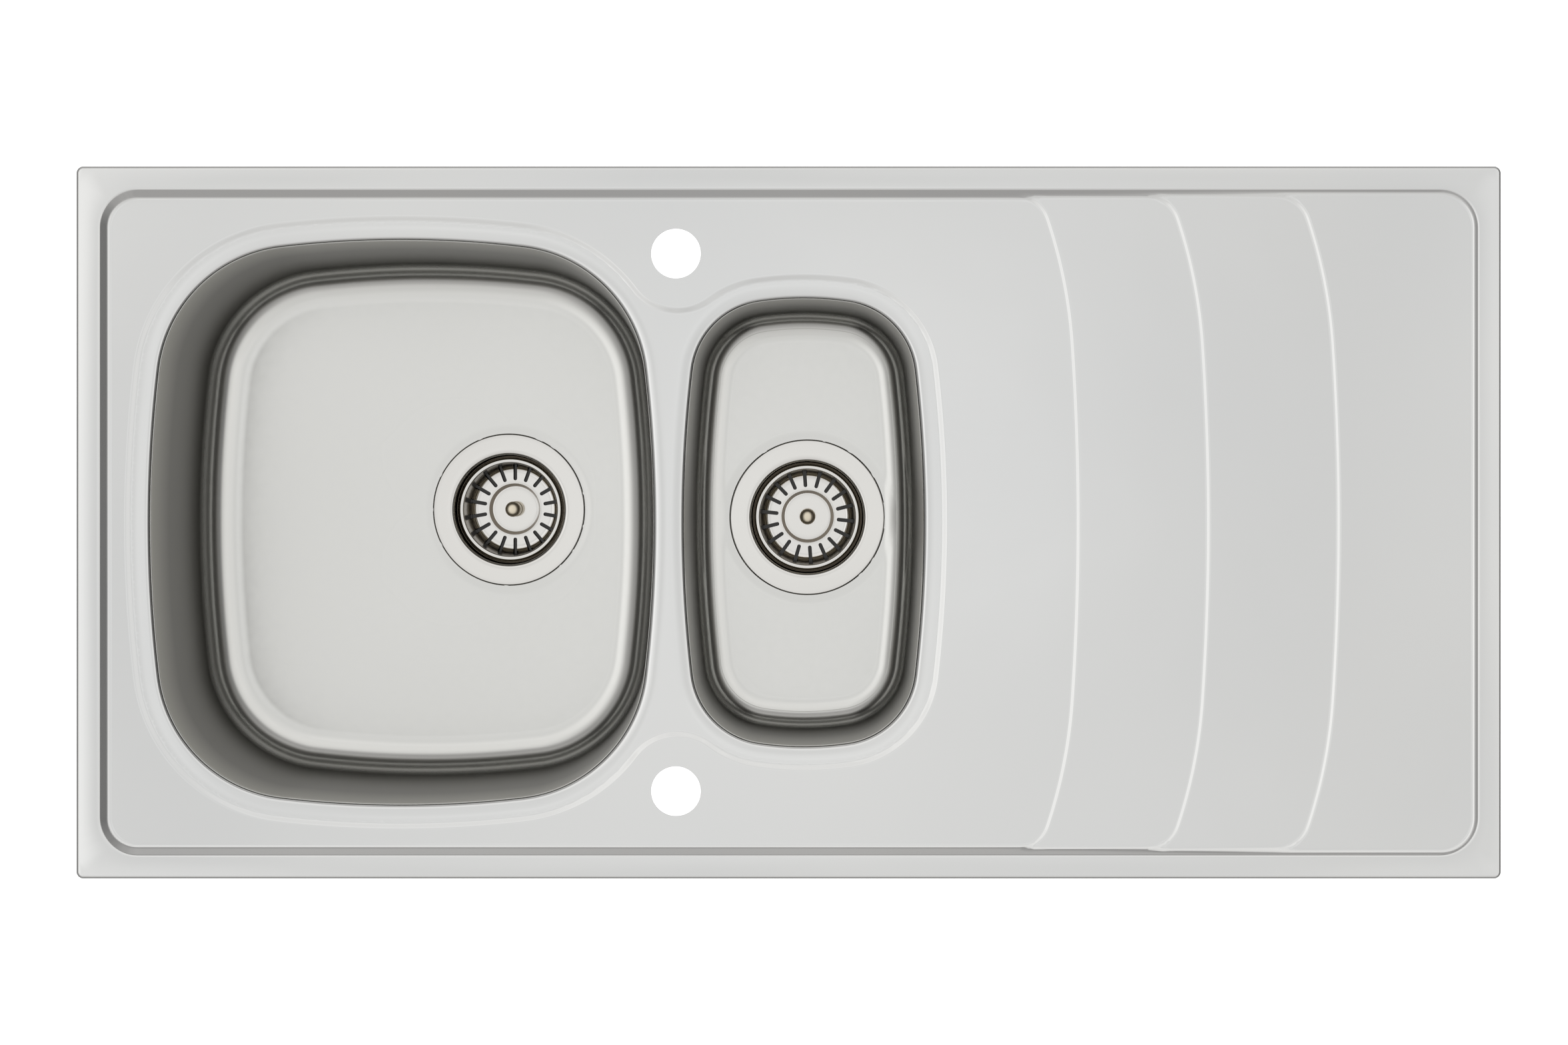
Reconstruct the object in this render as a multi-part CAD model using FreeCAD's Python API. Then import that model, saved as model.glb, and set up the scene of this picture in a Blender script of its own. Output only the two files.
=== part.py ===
"""Inset kitchen sink: one pressed stainless deck with a drainer, a main bowl, a half bowl,
two basket strainer wastes and the swivel clips that hold the sink in its worktop cut-out.

Frame: millimetres, +X along the sink towards the drainer, +Y to the rear, +Z up.
The origin is the centre of the sink on the worktop's top face, so the rim stands on z = 0.
"""

import FreeCAD
import Part

import math
import os

V = FreeCAD.Vector
UP = V(0, 0, 1)

# ---------------------------------------------------------------- driving dimensions
LENGTH = 1000.0
WIDTH = 500.0
CORNER_R = 5.0
SHEET = 1.0

# Heights of the pressed deck's upper face
RIM_TOP = 6.0
DECK_TOP = 1.2
TERRACE_STEP = 0.8
SURROUND_TOP = 0.0
SKIRT_BOTTOM = 0.5
COLLAR_BOTTOM = -5.0
CLEAR_ABOVE = RIM_TOP + 1.0
DEEP_BELOW = -30.0

# Slope from the rim down to the deck
RIM_WIDTH = 16.0
RIM_INNER_R = 27.0
SLOPE_RUN = 6.5 / (RIM_TOP - DECK_TOP)
EDGE_ROLL_R = 2.5

# Drainer: three risers, each a long arc that tightens at both ends
RISERS_X = (202.2, 293.6, 385.0)
RISER_RUN = 2.4
RISER_R = 1880.0
RISER_BEND_R = 350.0
RISER_END_R = 22.0
RISER_STRAIGHT_Y = 125.0
RISER_END_Y = WIDTH / 2 - RIM_WIDTH - 6.5 + 0.6
DECK_LEFT = -LENGTH / 2 - 20

# Bowls. Each opening is four long arcs joined by four corner arcs.
MAIN = dict(
    name="main", x=-272.6, y=0.0, half_x=177.1, half_y=198.5,
    side_r=925.0, end_r=730.0, corner_r=97.5,
    floor=-155.0, floor_r=27.0, waste_x=-213.5, waste_y=7.0, strainer_turn=10.0,
    pad=(-352.0, 0.0, 110.0, 170.0),
)
HALF = dict(
    name="half", x=10.5, y=0.0, half_x=84.2, half_y=157.4,
    side_r=925.0, end_r=217.5, corner_r=54.6,
    floor=-105.0, floor_r=20.0, waste_x=12.5, waste_y=2.0, strainer_turn=14.0,
    pad=(10.5, -98.0, 80.0, 46.0),
)
BOWLS = (MAIN, HALF)
DRAFT = math.tan(math.radians(3.2))
OPENING_ROLL = 3.0
SURROUND_WIDTH = 13.2
SURROUND_RUN = 3.6

# Tap holes, one at the rear and one at the front, because the sink can be turned round
TAP_X = -79.3
TAP_Y = 189.0
TAP_HOLE_R = 17.5
NOTCH_R = 40.0

# Recess in a bowl's floor for the waste flange
RECESS_R = 60.0
RECESS_SEAT_R = 57.6
RECESS_DEPTH = 2.5
WASTE_HOLE_R = 45.0
PAD_THICK = 2.0

# Basket strainer waste. Heights are below the bowl's floor.
FLANGE_R = 57.0
FLANGE_TOP = 0.2
FLANGE_THICK = 1.3
CUP_R = 41.5
CUP_LEDGE_R = 37.6
CUP_FOOT_R = 36.0
CUP_LEDGE_DROP = 17.0
CUP_DROP = 51.0
CUP_WALL = 1.0
CUP_SPOKES = 4
SPOKE_WIDTH = 3.0
CUP_PORT_IN_R = 9.2
CUP_PORT_OUT_R = 16.5
BODY_R = 58.0
BODY_TOP_DROP = 6.5
BODY_BOTTOM_DROP = 66.0
BODY_WALL = 3.0
OUTLET_R = 23.9
OUTLET_BORE_R = 20.0
OUTLET_LENGTH = 26.0
OUTLET_WEBS = 3
WEB_THICK = 2.4
WEB_DEPTH = 10.0

# Basket
BASKET_RIM_DROP = 10.0
BASKET_DROP = 46.0
BASKET_RIM_R = 39.1
BASKET_WALL_R = 35.3
BASKET_FOOT_R = 33.9
BASKET_DISC_R = 18.8
BASKET_DISC_RISE = 1.0
BASKET_THICK = 0.8
SLOTS = 18
SLOT_WIDTH = 2.8
SLOT_IN_R = 23.5
SLOT_RISE = 7.5
KNOB_R = 5.9
KNOB_HEIGHT = 21.0
STEM_R = 3.0
TAIL_R = 2.4
TAIL_LENGTH = 13.0
BASKET_SEAL_R = 20.5
CLAMP_R = 4.0
CLAMP_HEAD_R = 8.0
CLAMP_HEAD_RISE = 1.5
CLAMP_LENGTH = 12.0
TAIL_BORE_R = 2.7

# Clips: a welded bridge with a threaded bush, and a claw carried on a long screw
CLIP_INSET = 28.2
CLIP_X = (-400.0, 20.0, 400.0)
BRIDGE_WIDTH = 10.0
BRIDGE_LEG_Y = 11.0
BRIDGE_FOOT_Y = 20.0
BRIDGE_HEIGHT = 19.0
BRIDGE_PLATE = 1.5
BUSH_R = 4.6
BUSH_LENGTH = 6.0
SCREW_R = 3.0
SCREW_FIT = 0.06
SCREW_TIP_DROP = 18.0
SCREW_LENGTH = 36.0
HEAD_R = 5.2
HEAD_THICK = 3.6
WASHER_R = 7.0
WASHER_THICK = 1.4
CLAW_LENGTH = 29.0
CLAW_WIDTH = 13.0
CLAW_THICK = 2.5
CLAW_TOOTH = 7.0
CLIP_GAP = 0.3


# ---------------------------------------------------------------- outlines
def polar(centre, radius, angle):
    return V(centre.x + radius * math.cos(angle), centre.y + radius * math.sin(angle), centre.z)


def meeting_point(c1, r1, c2, r2):
    """The crossing of two circles that lies furthest to the upper right."""
    across = c2 - c1
    gap = across.Length
    along = (r1 * r1 - r2 * r2 + gap * gap) / (2 * gap)
    off = math.sqrt(r1 * r1 - along * along)
    unit = across * (1 / gap)
    foot = c1 + unit * along
    side = V(-unit.y, unit.x, 0) * off
    return max((foot + side, foot - side), key=lambda p: p.x + p.y)


def touching_point(first, second):
    """Where two tangent circles touch. A negative radius is a hollow, rounded the other way."""
    (c1, r1), (c2, r2) = first, second
    if r1 * r2 < 0:
        return c1 + (c2 - c1).normalize() * abs(r1)
    big, small = ((c1, r1), (c2, r2)) if abs(r1) > abs(r2) else ((c2, r2), (c1, r1))
    return small[0] + (small[0] - big[0]).normalize() * abs(small[1])


def arc_between(centre, start, end, hollow):
    """The arc about centre from start to end, anticlockwise unless it is a hollow."""
    a0 = math.atan2(start.y - centre.y, start.x - centre.x)
    a1 = math.atan2(end.y - centre.y, end.x - centre.x)
    turn = (a1 - a0) % (2 * math.pi)
    if hollow:
        turn -= 2 * math.pi
    middle = polar(centre, (start - centre).Length, a0 + turn / 2)
    return Part.Arc(start, middle, end).toShape()


def round_chain(circles, z, grow=0.0):
    """A closed wire of tangent arcs, one per circle, grown outwards by grow and set at height z."""
    grown = [(V(c.x, c.y, 0), r + grow) for c, r in circles]
    count = len(grown)
    joints = [touching_point(grown[i], grown[(i + 1) % count]) for i in range(count)]
    arcs = [
        arc_between(grown[i][0], joints[i - 1], joints[i], grown[i][1] < 0)
        for i in range(count)
    ]
    wire = Part.Wire(arcs)
    wire.translate(V(0, 0, z))
    return wire


def bowl_circles(bowl):
    """The eight circles of a bowl's opening, anticlockwise from the right-hand side."""
    side = V(bowl["half_x"] - bowl["side_r"], 0, 0)
    end = V(0, bowl["half_y"] - bowl["end_r"], 0)
    corner = meeting_point(
        side, bowl["side_r"] - bowl["corner_r"], end, bowl["end_r"] - bowl["corner_r"]
    )
    quarters = [
        (side, bowl["side_r"]), (corner, bowl["corner_r"]),
        (end, bowl["end_r"]), (V(-corner.x, corner.y, 0), bowl["corner_r"]),
        (V(-side.x, 0, 0), bowl["side_r"]), (V(-corner.x, -corner.y, 0), bowl["corner_r"]),
        (V(0, -end.y, 0), bowl["end_r"]), (V(corner.x, -corner.y, 0), bowl["corner_r"]),
    ]
    middle = V(bowl["x"], bowl["y"], 0)
    return [(centre + middle, radius) for centre, radius in quarters]


def surround_circles():
    """The outline round both bowls: it hollows in beside each tap hole."""
    main, half = bowl_circles(MAIN), bowl_circles(HALF)
    reach = SURROUND_WIDTH
    main_corner, half_corner = main[1], half[3]
    notch = meeting_point(
        main_corner[0], main_corner[1] + reach + NOTCH_R,
        half_corner[0], half_corner[1] + reach + NOTCH_R,
    )
    rear = (notch, -(NOTCH_R + reach))
    front = (V(notch.x, -notch.y, 0), -(NOTCH_R + reach))
    return half[0:4] + [rear] + main[1:8] + [front] + half[5:8]


def rounded_rectangle(length, width, radius, z):
    """A closed wire, centred on the origin."""
    x, y = length / 2 - radius, width / 2 - radius
    edges = []
    for k, (cx, cy) in enumerate(((x, y), (-x, y), (-x, -y), (x, -y))):
        centre, a = V(cx, cy, z), k * math.pi / 2
        edges.append(
            Part.Arc(
                polar(centre, radius, a), polar(centre, radius, a + math.pi / 4),
                polar(centre, radius, a + math.pi / 2),
            ).toShape()
        )
    ends = [e.Vertexes for e in edges]
    sides = [
        Part.LineSegment(ends[k][-1].Point, ends[(k + 1) % 4][0].Point).toShape()
        for k in range(4)
    ]
    return Part.Wire([e for pair in zip(edges, sides) for e in pair])


def inset_rectangle(inset, radius, z):
    return rounded_rectangle(LENGTH - 2 * inset, WIDTH - 2 * inset, radius, z)


def terrace_outline(riser_x, z):
    """Everything to the left of a riser, whose ends curl round to meet the rim's slope."""
    long_c = V(riser_x - RISER_R, 0, 0)
    lean = math.asin(RISER_STRAIGHT_Y / RISER_R)
    bend_c = polar(long_c, RISER_R - RISER_BEND_R, lean)
    curl = math.asin((RISER_END_Y - RISER_END_R - bend_c.y) / (RISER_BEND_R - RISER_END_R))
    end_c = polar(bend_c, RISER_BEND_R - RISER_END_R, curl)
    rear = [
        polar(long_c, RISER_R, lean), polar(bend_c, RISER_BEND_R, (lean + curl) / 2),
        polar(bend_c, RISER_BEND_R, curl), polar(end_c, RISER_END_R, (curl + math.pi / 2) / 2),
        polar(end_c, RISER_END_R, math.pi / 2), V(DECK_LEFT, RISER_END_Y, 0),
    ]
    front = [V(p.x, -p.y, 0) for p in rear]
    edges = [
        Part.Arc(front[0], polar(long_c, RISER_R, 0), rear[0]),
        Part.Arc(rear[0], rear[1], rear[2]), Part.Arc(rear[2], rear[3], rear[4]),
        Part.LineSegment(rear[4], rear[5]), Part.LineSegment(rear[5], front[5]),
        Part.LineSegment(front[5], front[4]),
        Part.Arc(front[4], front[3], front[2]), Part.Arc(front[2], front[1], front[0]),
    ]
    wire = Part.Wire([e.toShape() for e in edges])
    wire.translate(V(0, 0, z))
    return wire


def prism(wire, z_top):
    """The solid under height z_top that stands on a flat wire."""
    base = wire.Vertexes[0].Z
    return Part.Face(wire).extrude(V(0, 0, z_top - base))


def loft(low, high):
    return Part.makeLoft([low, high], True, True)


def revolved(points, x=0.0, y=0.0, z=0.0):
    """A solid of revolution about the vertical through x, y. Points are (radius, height)."""
    corners = [V(r, 0, h) for r, h in points]
    face = Part.Face(Part.makePolygon(corners + corners[:1]))
    solid = face.revolve(V(0, 0, 0), UP, 360)
    solid.translate(V(x, y, z))
    return solid


# ---------------------------------------------------------------- the pressed deck
def rim_frustum():
    """The space inside the rim's slope, from above the rim down past the lowest deck."""
    low = DECK_TOP - 2.0
    drop = RIM_TOP - low
    return loft(
        inset_rectangle(RIM_WIDTH + drop * SLOPE_RUN, RIM_INNER_R - drop * SLOPE_RUN, low),
        inset_rectangle(RIM_WIDTH - SLOPE_RUN, RIM_INNER_R + SLOPE_RUN, CLEAR_ABOVE),
    )


def terrace_space(level):
    """The space above one level of the deck, as far as the riser on its right."""
    z_low = DECK_TOP + level * TERRACE_STEP
    if level == len(RISERS_X):
        wide = Part.makeBox(LENGTH, WIDTH, CLEAR_ABOVE - z_low, V(-LENGTH / 2, -WIDTH / 2, z_low))
        return wide
    z_high = z_low + TERRACE_STEP
    riser = loft(
        terrace_outline(RISERS_X[level], z_low),
        terrace_outline(RISERS_X[level] + RISER_RUN, z_high),
    )
    return riser.fuse(prism(terrace_outline(RISERS_X[level] + RISER_RUN, z_high), CLEAR_ABOVE))


def surround_space():
    """The shallow step round both bowls."""
    circles = surround_circles()
    low = round_chain(circles, SURROUND_TOP, SURROUND_WIDTH)
    high = round_chain(circles, DECK_TOP, SURROUND_WIDTH + SURROUND_RUN)
    return loft(low, high).fuse(prism(high, CLEAR_ABOVE))


def cut_opening(block, bowl, lip):
    """The hole for a bowl: a rolled edge at the top and an upright collar below it."""
    circles = bowl_circles(bowl)
    block = block.cut(prism(round_chain(circles, DEEP_BELOW - SHEET, lip), CLEAR_ABOVE))
    outline = round_chain(circles, SURROUND_TOP, lip)
    rim = [
        e for e in block.Edges
        if e.BoundBox.ZLength < 0.01 and e.distToShape(outline)[0] < 0.01
        and abs(e.BoundBox.ZMax - SURROUND_TOP) < 0.01
    ]
    return block.makeFillet(OPENING_ROLL - lip, rim)


def deck_volume(lip):
    """The deck as a solid block. lip draws its outside in, and opens its holes out."""
    block = prism(inset_rectangle(lip, CORNER_R - lip, DEEP_BELOW), RIM_TOP)
    top_edges = [e for e in block.Edges if all(abs(v.Z - RIM_TOP) < 0.01 for v in e.Vertexes)]
    block = block.makeFillet(EDGE_ROLL_R - lip, top_edges)
    frustum = rim_frustum()
    for level in range(len(RISERS_X) + 1):
        block = block.cut(frustum.common(terrace_space(level)))
    block = block.cut(surround_space())
    for bowl in BOWLS:
        block = cut_opening(block, bowl, lip)
    return block


def deck():
    under = deck_volume(SHEET)
    under.translate(V(0, 0, -SHEET))
    skin = deck_volume(0.0).cut(under)
    outer = Part.makeBox(LENGTH, WIDTH, CLEAR_ABOVE - SKIRT_BOTTOM,
                         V(-LENGTH / 2, -WIDTH / 2, SKIRT_BOTTOM))
    inner = prism(inset_rectangle(RIM_WIDTH / 2, CORNER_R, COLLAR_BOTTOM), SKIRT_BOTTOM + 1)
    skin = skin.common(outer.fuse(inner))
    for y in (TAP_Y, -TAP_Y):
        skin = skin.cut(Part.makeCylinder(TAP_HOLE_R, 20, V(TAP_X, y, -10)))
    return skin


# ---------------------------------------------------------------- bowls
def bowl_block(bowl, grow):
    """A bowl as a solid lump: drafted walls and a rounded foot. grow thickens it all round."""
    circles = bowl_circles(bowl)
    floor = bowl["floor"] - grow
    depth = COLLAR_BOTTOM - floor
    top = COLLAR_BOTTOM if grow else COLLAR_BOTTOM + 1.0
    lump = loft(
        round_chain(circles, floor, grow - depth * DRAFT),
        round_chain(circles, top, grow + (top - COLLAR_BOTTOM) * DRAFT),
    )
    foot = [e for e in lump.Edges if all(abs(v.Z - floor) < 0.01 for v in e.Vertexes)]
    return lump.makeFillet(bowl["floor_r"] + grow, foot)


def bowl_shell(bowl):
    x, y, floor = bowl["waste_x"], bowl["waste_y"], bowl["floor"]
    outer = bowl_block(bowl, SHEET)
    outer = outer.fuse(Part.makeCone(RECESS_SEAT_R + SHEET, RECESS_R + SHEET, RECESS_DEPTH,
                                     V(x, y, floor - SHEET - RECESS_DEPTH)))
    inner = bowl_block(bowl, 0.0)
    dish = Part.makeCone(RECESS_SEAT_R, RECESS_R, RECESS_DEPTH, V(x, y, floor - RECESS_DEPTH))
    hole = Part.makeCylinder(WASTE_HOLE_R, 20, V(x, y, floor - 15))
    return outer.cut(inner).cut(dish).cut(hole).removeSplitter()


def sound_pad(bowl):
    """A self-adhesive damping pad stuck under the bowl's floor."""
    x, y, length, width = bowl["pad"]
    under = bowl["floor"] - SHEET
    wire = rounded_rectangle(length, width, 12, under - PAD_THICK)
    wire.translate(V(x, y, 0))
    return prism(wire, under)


# ---------------------------------------------------------------- basket strainer waste
def waste_flange():
    """Polished ring that lies in the floor's recess, with the cup below it."""
    top, bottom = -FLANGE_TOP, -FLANGE_TOP - FLANGE_THICK
    outside = [
        (FLANGE_R, bottom), (FLANGE_R, top - 0.5), (FLANGE_R - 0.6, top),
        (CUP_R + 1.2, top), (CUP_R, top - 1.2),
    ]
    inside = [
        (CUP_R, -CUP_LEDGE_DROP + 3), (CUP_LEDGE_R, -CUP_LEDGE_DROP),
        (CUP_FOOT_R, -CUP_DROP + CUP_WALL), (0, -CUP_DROP + CUP_WALL),
    ]
    back = [
        (0, -CUP_DROP), (CUP_FOOT_R + CUP_WALL, -CUP_DROP),
        (CUP_LEDGE_R + CUP_WALL, -CUP_LEDGE_DROP - 1), (CUP_R + CUP_WALL, -CUP_LEDGE_DROP + 2),
        (CUP_R + CUP_WALL, bottom),
    ]
    cup = revolved(outside + inside + back)
    low, high = -CUP_DROP - 1, -CUP_DROP + CUP_WALL + 1
    ports = revolved([
        (CUP_PORT_IN_R, low), (CUP_PORT_OUT_R, low), (CUP_PORT_OUT_R, high), (CUP_PORT_IN_R, high),
    ])
    for k in range(CUP_SPOKES):
        spoke = Part.makeBox(CUP_PORT_OUT_R + 1, SPOKE_WIDTH, high - low, V(0, -SPOKE_WIDTH / 2, low))
        spoke.rotate(V(0, 0, 0), UP, 360 * k / CUP_SPOKES)
        ports = ports.cut(spoke)
    return cup.cut([ports, Part.makeCylinder(CLAMP_R + 0.3, high - low, V(0, 0, low))])


def flange_seal():
    top, bottom = -FLANGE_TOP - FLANGE_THICK, -RECESS_DEPTH
    return revolved([(46, bottom), (56, bottom), (56, top), (46, top)])


def body_seal():
    top, bottom = -RECESS_DEPTH - SHEET, -BODY_TOP_DROP
    return revolved([(47, bottom), (56, bottom), (56, top), (47, top)])


def waste_body():
    """Moulded chamber under the bowl, ending in a threaded spigot, with webs for the clamp screw."""
    top, bottom = -BODY_TOP_DROP, -BODY_BOTTOM_DROP
    end = bottom - OUTLET_LENGTH
    chamber = revolved([
        (CUP_R + 2.4, top), (BODY_R, top), (BODY_R, top - 4), (CUP_R + 6, top - 6),
        (CUP_FOOT_R + 7, bottom + 9), (CUP_FOOT_R + 1, bottom), (OUTLET_R, bottom - 3),
        (OUTLET_R, end), (OUTLET_BORE_R, end), (OUTLET_BORE_R, bottom - 2),
        (CUP_FOOT_R - 1, bottom + BODY_WALL), (CUP_FOOT_R + 3.5, bottom + 11),
    ])
    boss = Part.makeCylinder(7.5, WEB_DEPTH + 1, V(0, 0, -CUP_DROP - WEB_DEPTH - 1))
    webs = []
    for k in range(OUTLET_WEBS):
        web = Part.makeBox(CUP_FOOT_R + 1, WEB_THICK, WEB_DEPTH,
                           V(0, -WEB_THICK / 2, -CUP_DROP - WEB_DEPTH - 1))
        web.rotate(V(0, 0, 0), UP, 30 + 360 * k / OUTLET_WEBS)
        webs.append(web)
    body = chamber.fuse([boss] + webs)
    return body.cut(Part.makeCylinder(CLAMP_R, 40, V(0, 0, -CUP_DROP - WEB_DEPTH - 2)))


def clamp_screw():
    """Hollow screw that draws the flange and the body together through the cup's foot."""
    seat = -CUP_DROP + CUP_WALL
    top = seat + CLAMP_HEAD_RISE
    screw = revolved([
        (0, seat - CLAMP_LENGTH), (CLAMP_R, seat - CLAMP_LENGTH), (CLAMP_R, seat),
        (CLAMP_HEAD_R, seat), (CLAMP_HEAD_R, top - 0.7), (CLAMP_HEAD_R - 0.7, top), (0, top),
    ])
    return screw.cut(Part.makeCylinder(TAIL_BORE_R, 20, V(0, 0, seat - CLAMP_LENGTH + 1)))


def basket():
    """Pressed strainer basket: rolled rim, tapered wall, and a slotted foot."""
    rim, foot = -BASKET_RIM_DROP, -BASKET_DROP
    t = BASKET_THICK
    disc = foot + BASKET_DISC_RISE
    inner = [
        (BASKET_WALL_R, rim - 1.5), (BASKET_WALL_R, rim - 5), (BASKET_FOOT_R, foot + 6),
        (BASKET_FOOT_R - 1.6, foot + 2), (BASKET_FOOT_R - 4.6, foot),
        (BASKET_DISC_R + 1, foot), (BASKET_DISC_R, disc), (STEM_R, disc),
    ]
    outer = [
        (STEM_R, disc - t), (BASKET_DISC_R - 0.3, disc - t), (BASKET_DISC_R + 0.7, foot - t),
        (BASKET_FOOT_R - 4.2, foot - t), (BASKET_FOOT_R - 1, foot + 1.4),
        (BASKET_FOOT_R + t, foot + 6), (BASKET_WALL_R + t, rim - 5),
        (BASKET_WALL_R + t, rim - 3.2), (BASKET_RIM_R - 0.6, rim - 3.2),
        (BASKET_RIM_R, rim - 2.4), (BASKET_RIM_R, rim - 0.8), (BASKET_RIM_R - 0.8, rim),
        (BASKET_WALL_R + 0.8, rim),
    ]
    cup = revolved(inner + outer)
    slots = []
    for k in range(SLOTS):
        bar = Part.makeBox(BASKET_RIM_R - SLOT_IN_R, SLOT_WIDTH, SLOT_RISE + 2,
                           V(SLOT_IN_R, -SLOT_WIDTH / 2, foot - 2))
        end = Part.makeCylinder(SLOT_WIDTH / 2, SLOT_RISE + 2, V(SLOT_IN_R, 0, foot - 2))
        slot = bar.fuse(end)
        slot.rotate(V(0, 0, 0), UP, 360 * k / SLOTS)
        slots.append(slot)
    return cup.cut(slots)


def basket_knob():
    """Round-headed post through the basket, with a thin tail that finds the clamp screw."""
    foot = -BASKET_DROP + BASKET_DISC_RISE
    top = foot + KNOB_HEIGHT
    head = top - KNOB_R
    post = revolved([
        (0, foot), (KNOB_R, foot), (KNOB_R - 0.5, foot + 1.5), (KNOB_R - 0.5, head), (0, head),
    ])
    ball = Part.makeSphere(KNOB_R, V(0, 0, head))
    stem = Part.makeCylinder(STEM_R, BASKET_THICK, V(0, 0, foot - BASKET_THICK))
    tail = Part.makeCylinder(TAIL_R, TAIL_LENGTH, V(0, 0, foot - BASKET_THICK - TAIL_LENGTH))
    return post.fuse([ball, stem, tail])


def basket_nut():
    """Nut that holds the basket on its knob."""
    top = -BASKET_DROP + BASKET_DISC_RISE - BASKET_THICK
    hexagon = Part.Face(Part.makePolygon(
        [polar(V(0, 0, top - 2.4), 5.4, math.radians(60 * k)) for k in range(7)]
    ))
    nut = hexagon.extrude(V(0, 0, 2.4))
    return nut.cut(Part.makeCylinder(TAIL_R, 10, V(0, 0, top - 5)))


def basket_seal():
    """Rubber ring under the basket that stands on the cup's foot and closes its ports."""
    top, seat = -BASKET_DROP - BASKET_THICK, -CUP_DROP + CUP_WALL
    return revolved([
        (BASKET_DISC_R + 0.7, top), (BASKET_SEAL_R, top), (BASKET_SEAL_R + 1, seat + 0.8),
        (BASKET_SEAL_R + 1, seat), (BASKET_SEAL_R - 2, seat), (BASKET_SEAL_R - 2.4, seat + 0.8),
    ])


def placed(solid, bowl, turn):
    """A waste part turned about its own axis and moved to its place in a bowl."""
    solid.rotate(V(0, 0, 0), UP, turn)
    solid.translate(V(bowl["waste_x"], bowl["waste_y"], bowl["floor"]))
    return solid


# ---------------------------------------------------------------- clips
def clip_places():
    """Each clip's screw axis, the way out to the rim in degrees, and the deck's underside there."""
    places = []
    reach_y = WIDTH / 2 - CLIP_INSET
    reach_x = LENGTH / 2 - CLIP_INSET
    low = DECK_TOP - SHEET
    high = low + len(RISERS_X) * TERRACE_STEP
    for side, turn in ((1, 90), (-1, 270)):
        for x in CLIP_X:
            places.append((x, side * reach_y, turn, high if x > RISERS_X[-1] else low))
    places.append((-reach_x, 0.0, 180, low))
    places.append((reach_x, 0.0, 0, high))
    return places


def at_clip(solid, place):
    x, y, turn, top = place
    solid.rotate(V(0, 0, 0), UP, turn)
    solid.translate(V(x, y, top))
    return solid


def clip_bridge():
    """Hat-shaped bracket, welded under the deck by its two feet, with a threaded bush."""
    foot, leg, drop, t = BRIDGE_FOOT_Y, BRIDGE_LEG_Y, BRIDGE_HEIGHT, BRIDGE_PLATE
    half = [(foot, 0), (foot, -t), (leg, -t), (leg, -drop), (0, -drop)]
    back = [(0, -drop + t), (leg - t, -drop + t), (leg - t, 0)]
    right = [V(-BRIDGE_WIDTH / 2, y, z) for y, z in half + back]
    profile = Part.Face(Part.makePolygon(right + right[:1]))
    one = profile.extrude(V(BRIDGE_WIDTH, 0, 0))
    other = one.mirror(V(0, 0, 0), V(0, 1, 0))
    bush = Part.makeCylinder(BUSH_R, BUSH_LENGTH, V(0, 0, -drop - BUSH_LENGTH + t))
    bridge = one.fuse([other, bush]).removeSplitter()
    bore = Part.makeCylinder(SCREW_R + SCREW_FIT, 20, V(0, 0, -drop - 10))
    return bridge.cut(bore)


def clip_heights():
    """Heights below the deck, at rest: the screw's tip, and the washer's top and bottom faces."""
    tip = -SCREW_TIP_DROP
    washer_bottom = tip - SCREW_LENGTH + CLIP_GAP
    return tip, washer_bottom + WASHER_THICK, washer_bottom


def clip_screw():
    """Long screw with a slotted cheese head at the bottom."""
    tip, _, washer_bottom = clip_heights()
    seat = washer_bottom - CLIP_GAP
    shank = revolved([
        (0, seat - HEAD_THICK), (HEAD_R - 0.5, seat - HEAD_THICK), (HEAD_R, seat - HEAD_THICK + 0.5),
        (HEAD_R, seat), (SCREW_R, seat), (SCREW_R, tip - 1), (SCREW_R - 0.8, tip), (0, tip),
    ])
    slot = Part.makeBox(2 * HEAD_R, 1.2, 1.6, V(-HEAD_R, -0.6, seat - HEAD_THICK))
    return shank.cut(slot)


def clip_washer():
    _, top, bottom = clip_heights()
    bore = SCREW_R + 0.3
    return revolved([(bore, bottom), (WASHER_R, bottom), (WASHER_R, top), (bore, top)])


def clip_claw():
    """Flat arm that lies along the rim at rest, with an upturned toothed end."""
    _, washer_top, _ = clip_heights()
    low = washer_top + CLIP_GAP
    half = CLAW_WIDTH / 2
    arm = Part.makeBox(CLAW_WIDTH, CLAW_LENGTH, CLAW_THICK, V(-half, -CLAW_LENGTH, low))
    heel = Part.makeCylinder(half, CLAW_THICK, V(0, 0, low))
    end = Part.makeBox(CLAW_WIDTH, CLAW_THICK, CLAW_TOOTH, V(-half, -CLAW_LENGTH, low))
    claw = arm.fuse([heel, end])
    notch_z = low + CLAW_TOOTH
    for x in (-half / 2, 0, half / 2):
        gap = Part.Face(Part.makePolygon([
            V(x - 1.5, 0, notch_z + 0.1), V(x + 1.5, 0, notch_z + 0.1), V(x, 0, notch_z - 2),
            V(x - 1.5, 0, notch_z + 0.1),
        ])).extrude(V(0, -2 * CLAW_LENGTH, 0))
        claw = claw.cut(gap)
    return claw.cut(Part.makeCylinder(SCREW_R + 0.3, 20, V(0, 0, low - 5)))


# ---------------------------------------------------------------- rim seal
def rim_seal():
    """Foam strip under the rim. Its lower face is what rests on the worktop."""
    outer, inner, top = 2.6, 9.0, RIM_TOP - SHEET
    strip = prism(inset_rectangle(outer, CORNER_R - outer, 0), top)
    return strip.cut(prism(inset_rectangle(inner, CORNER_R, 0), top))


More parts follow.
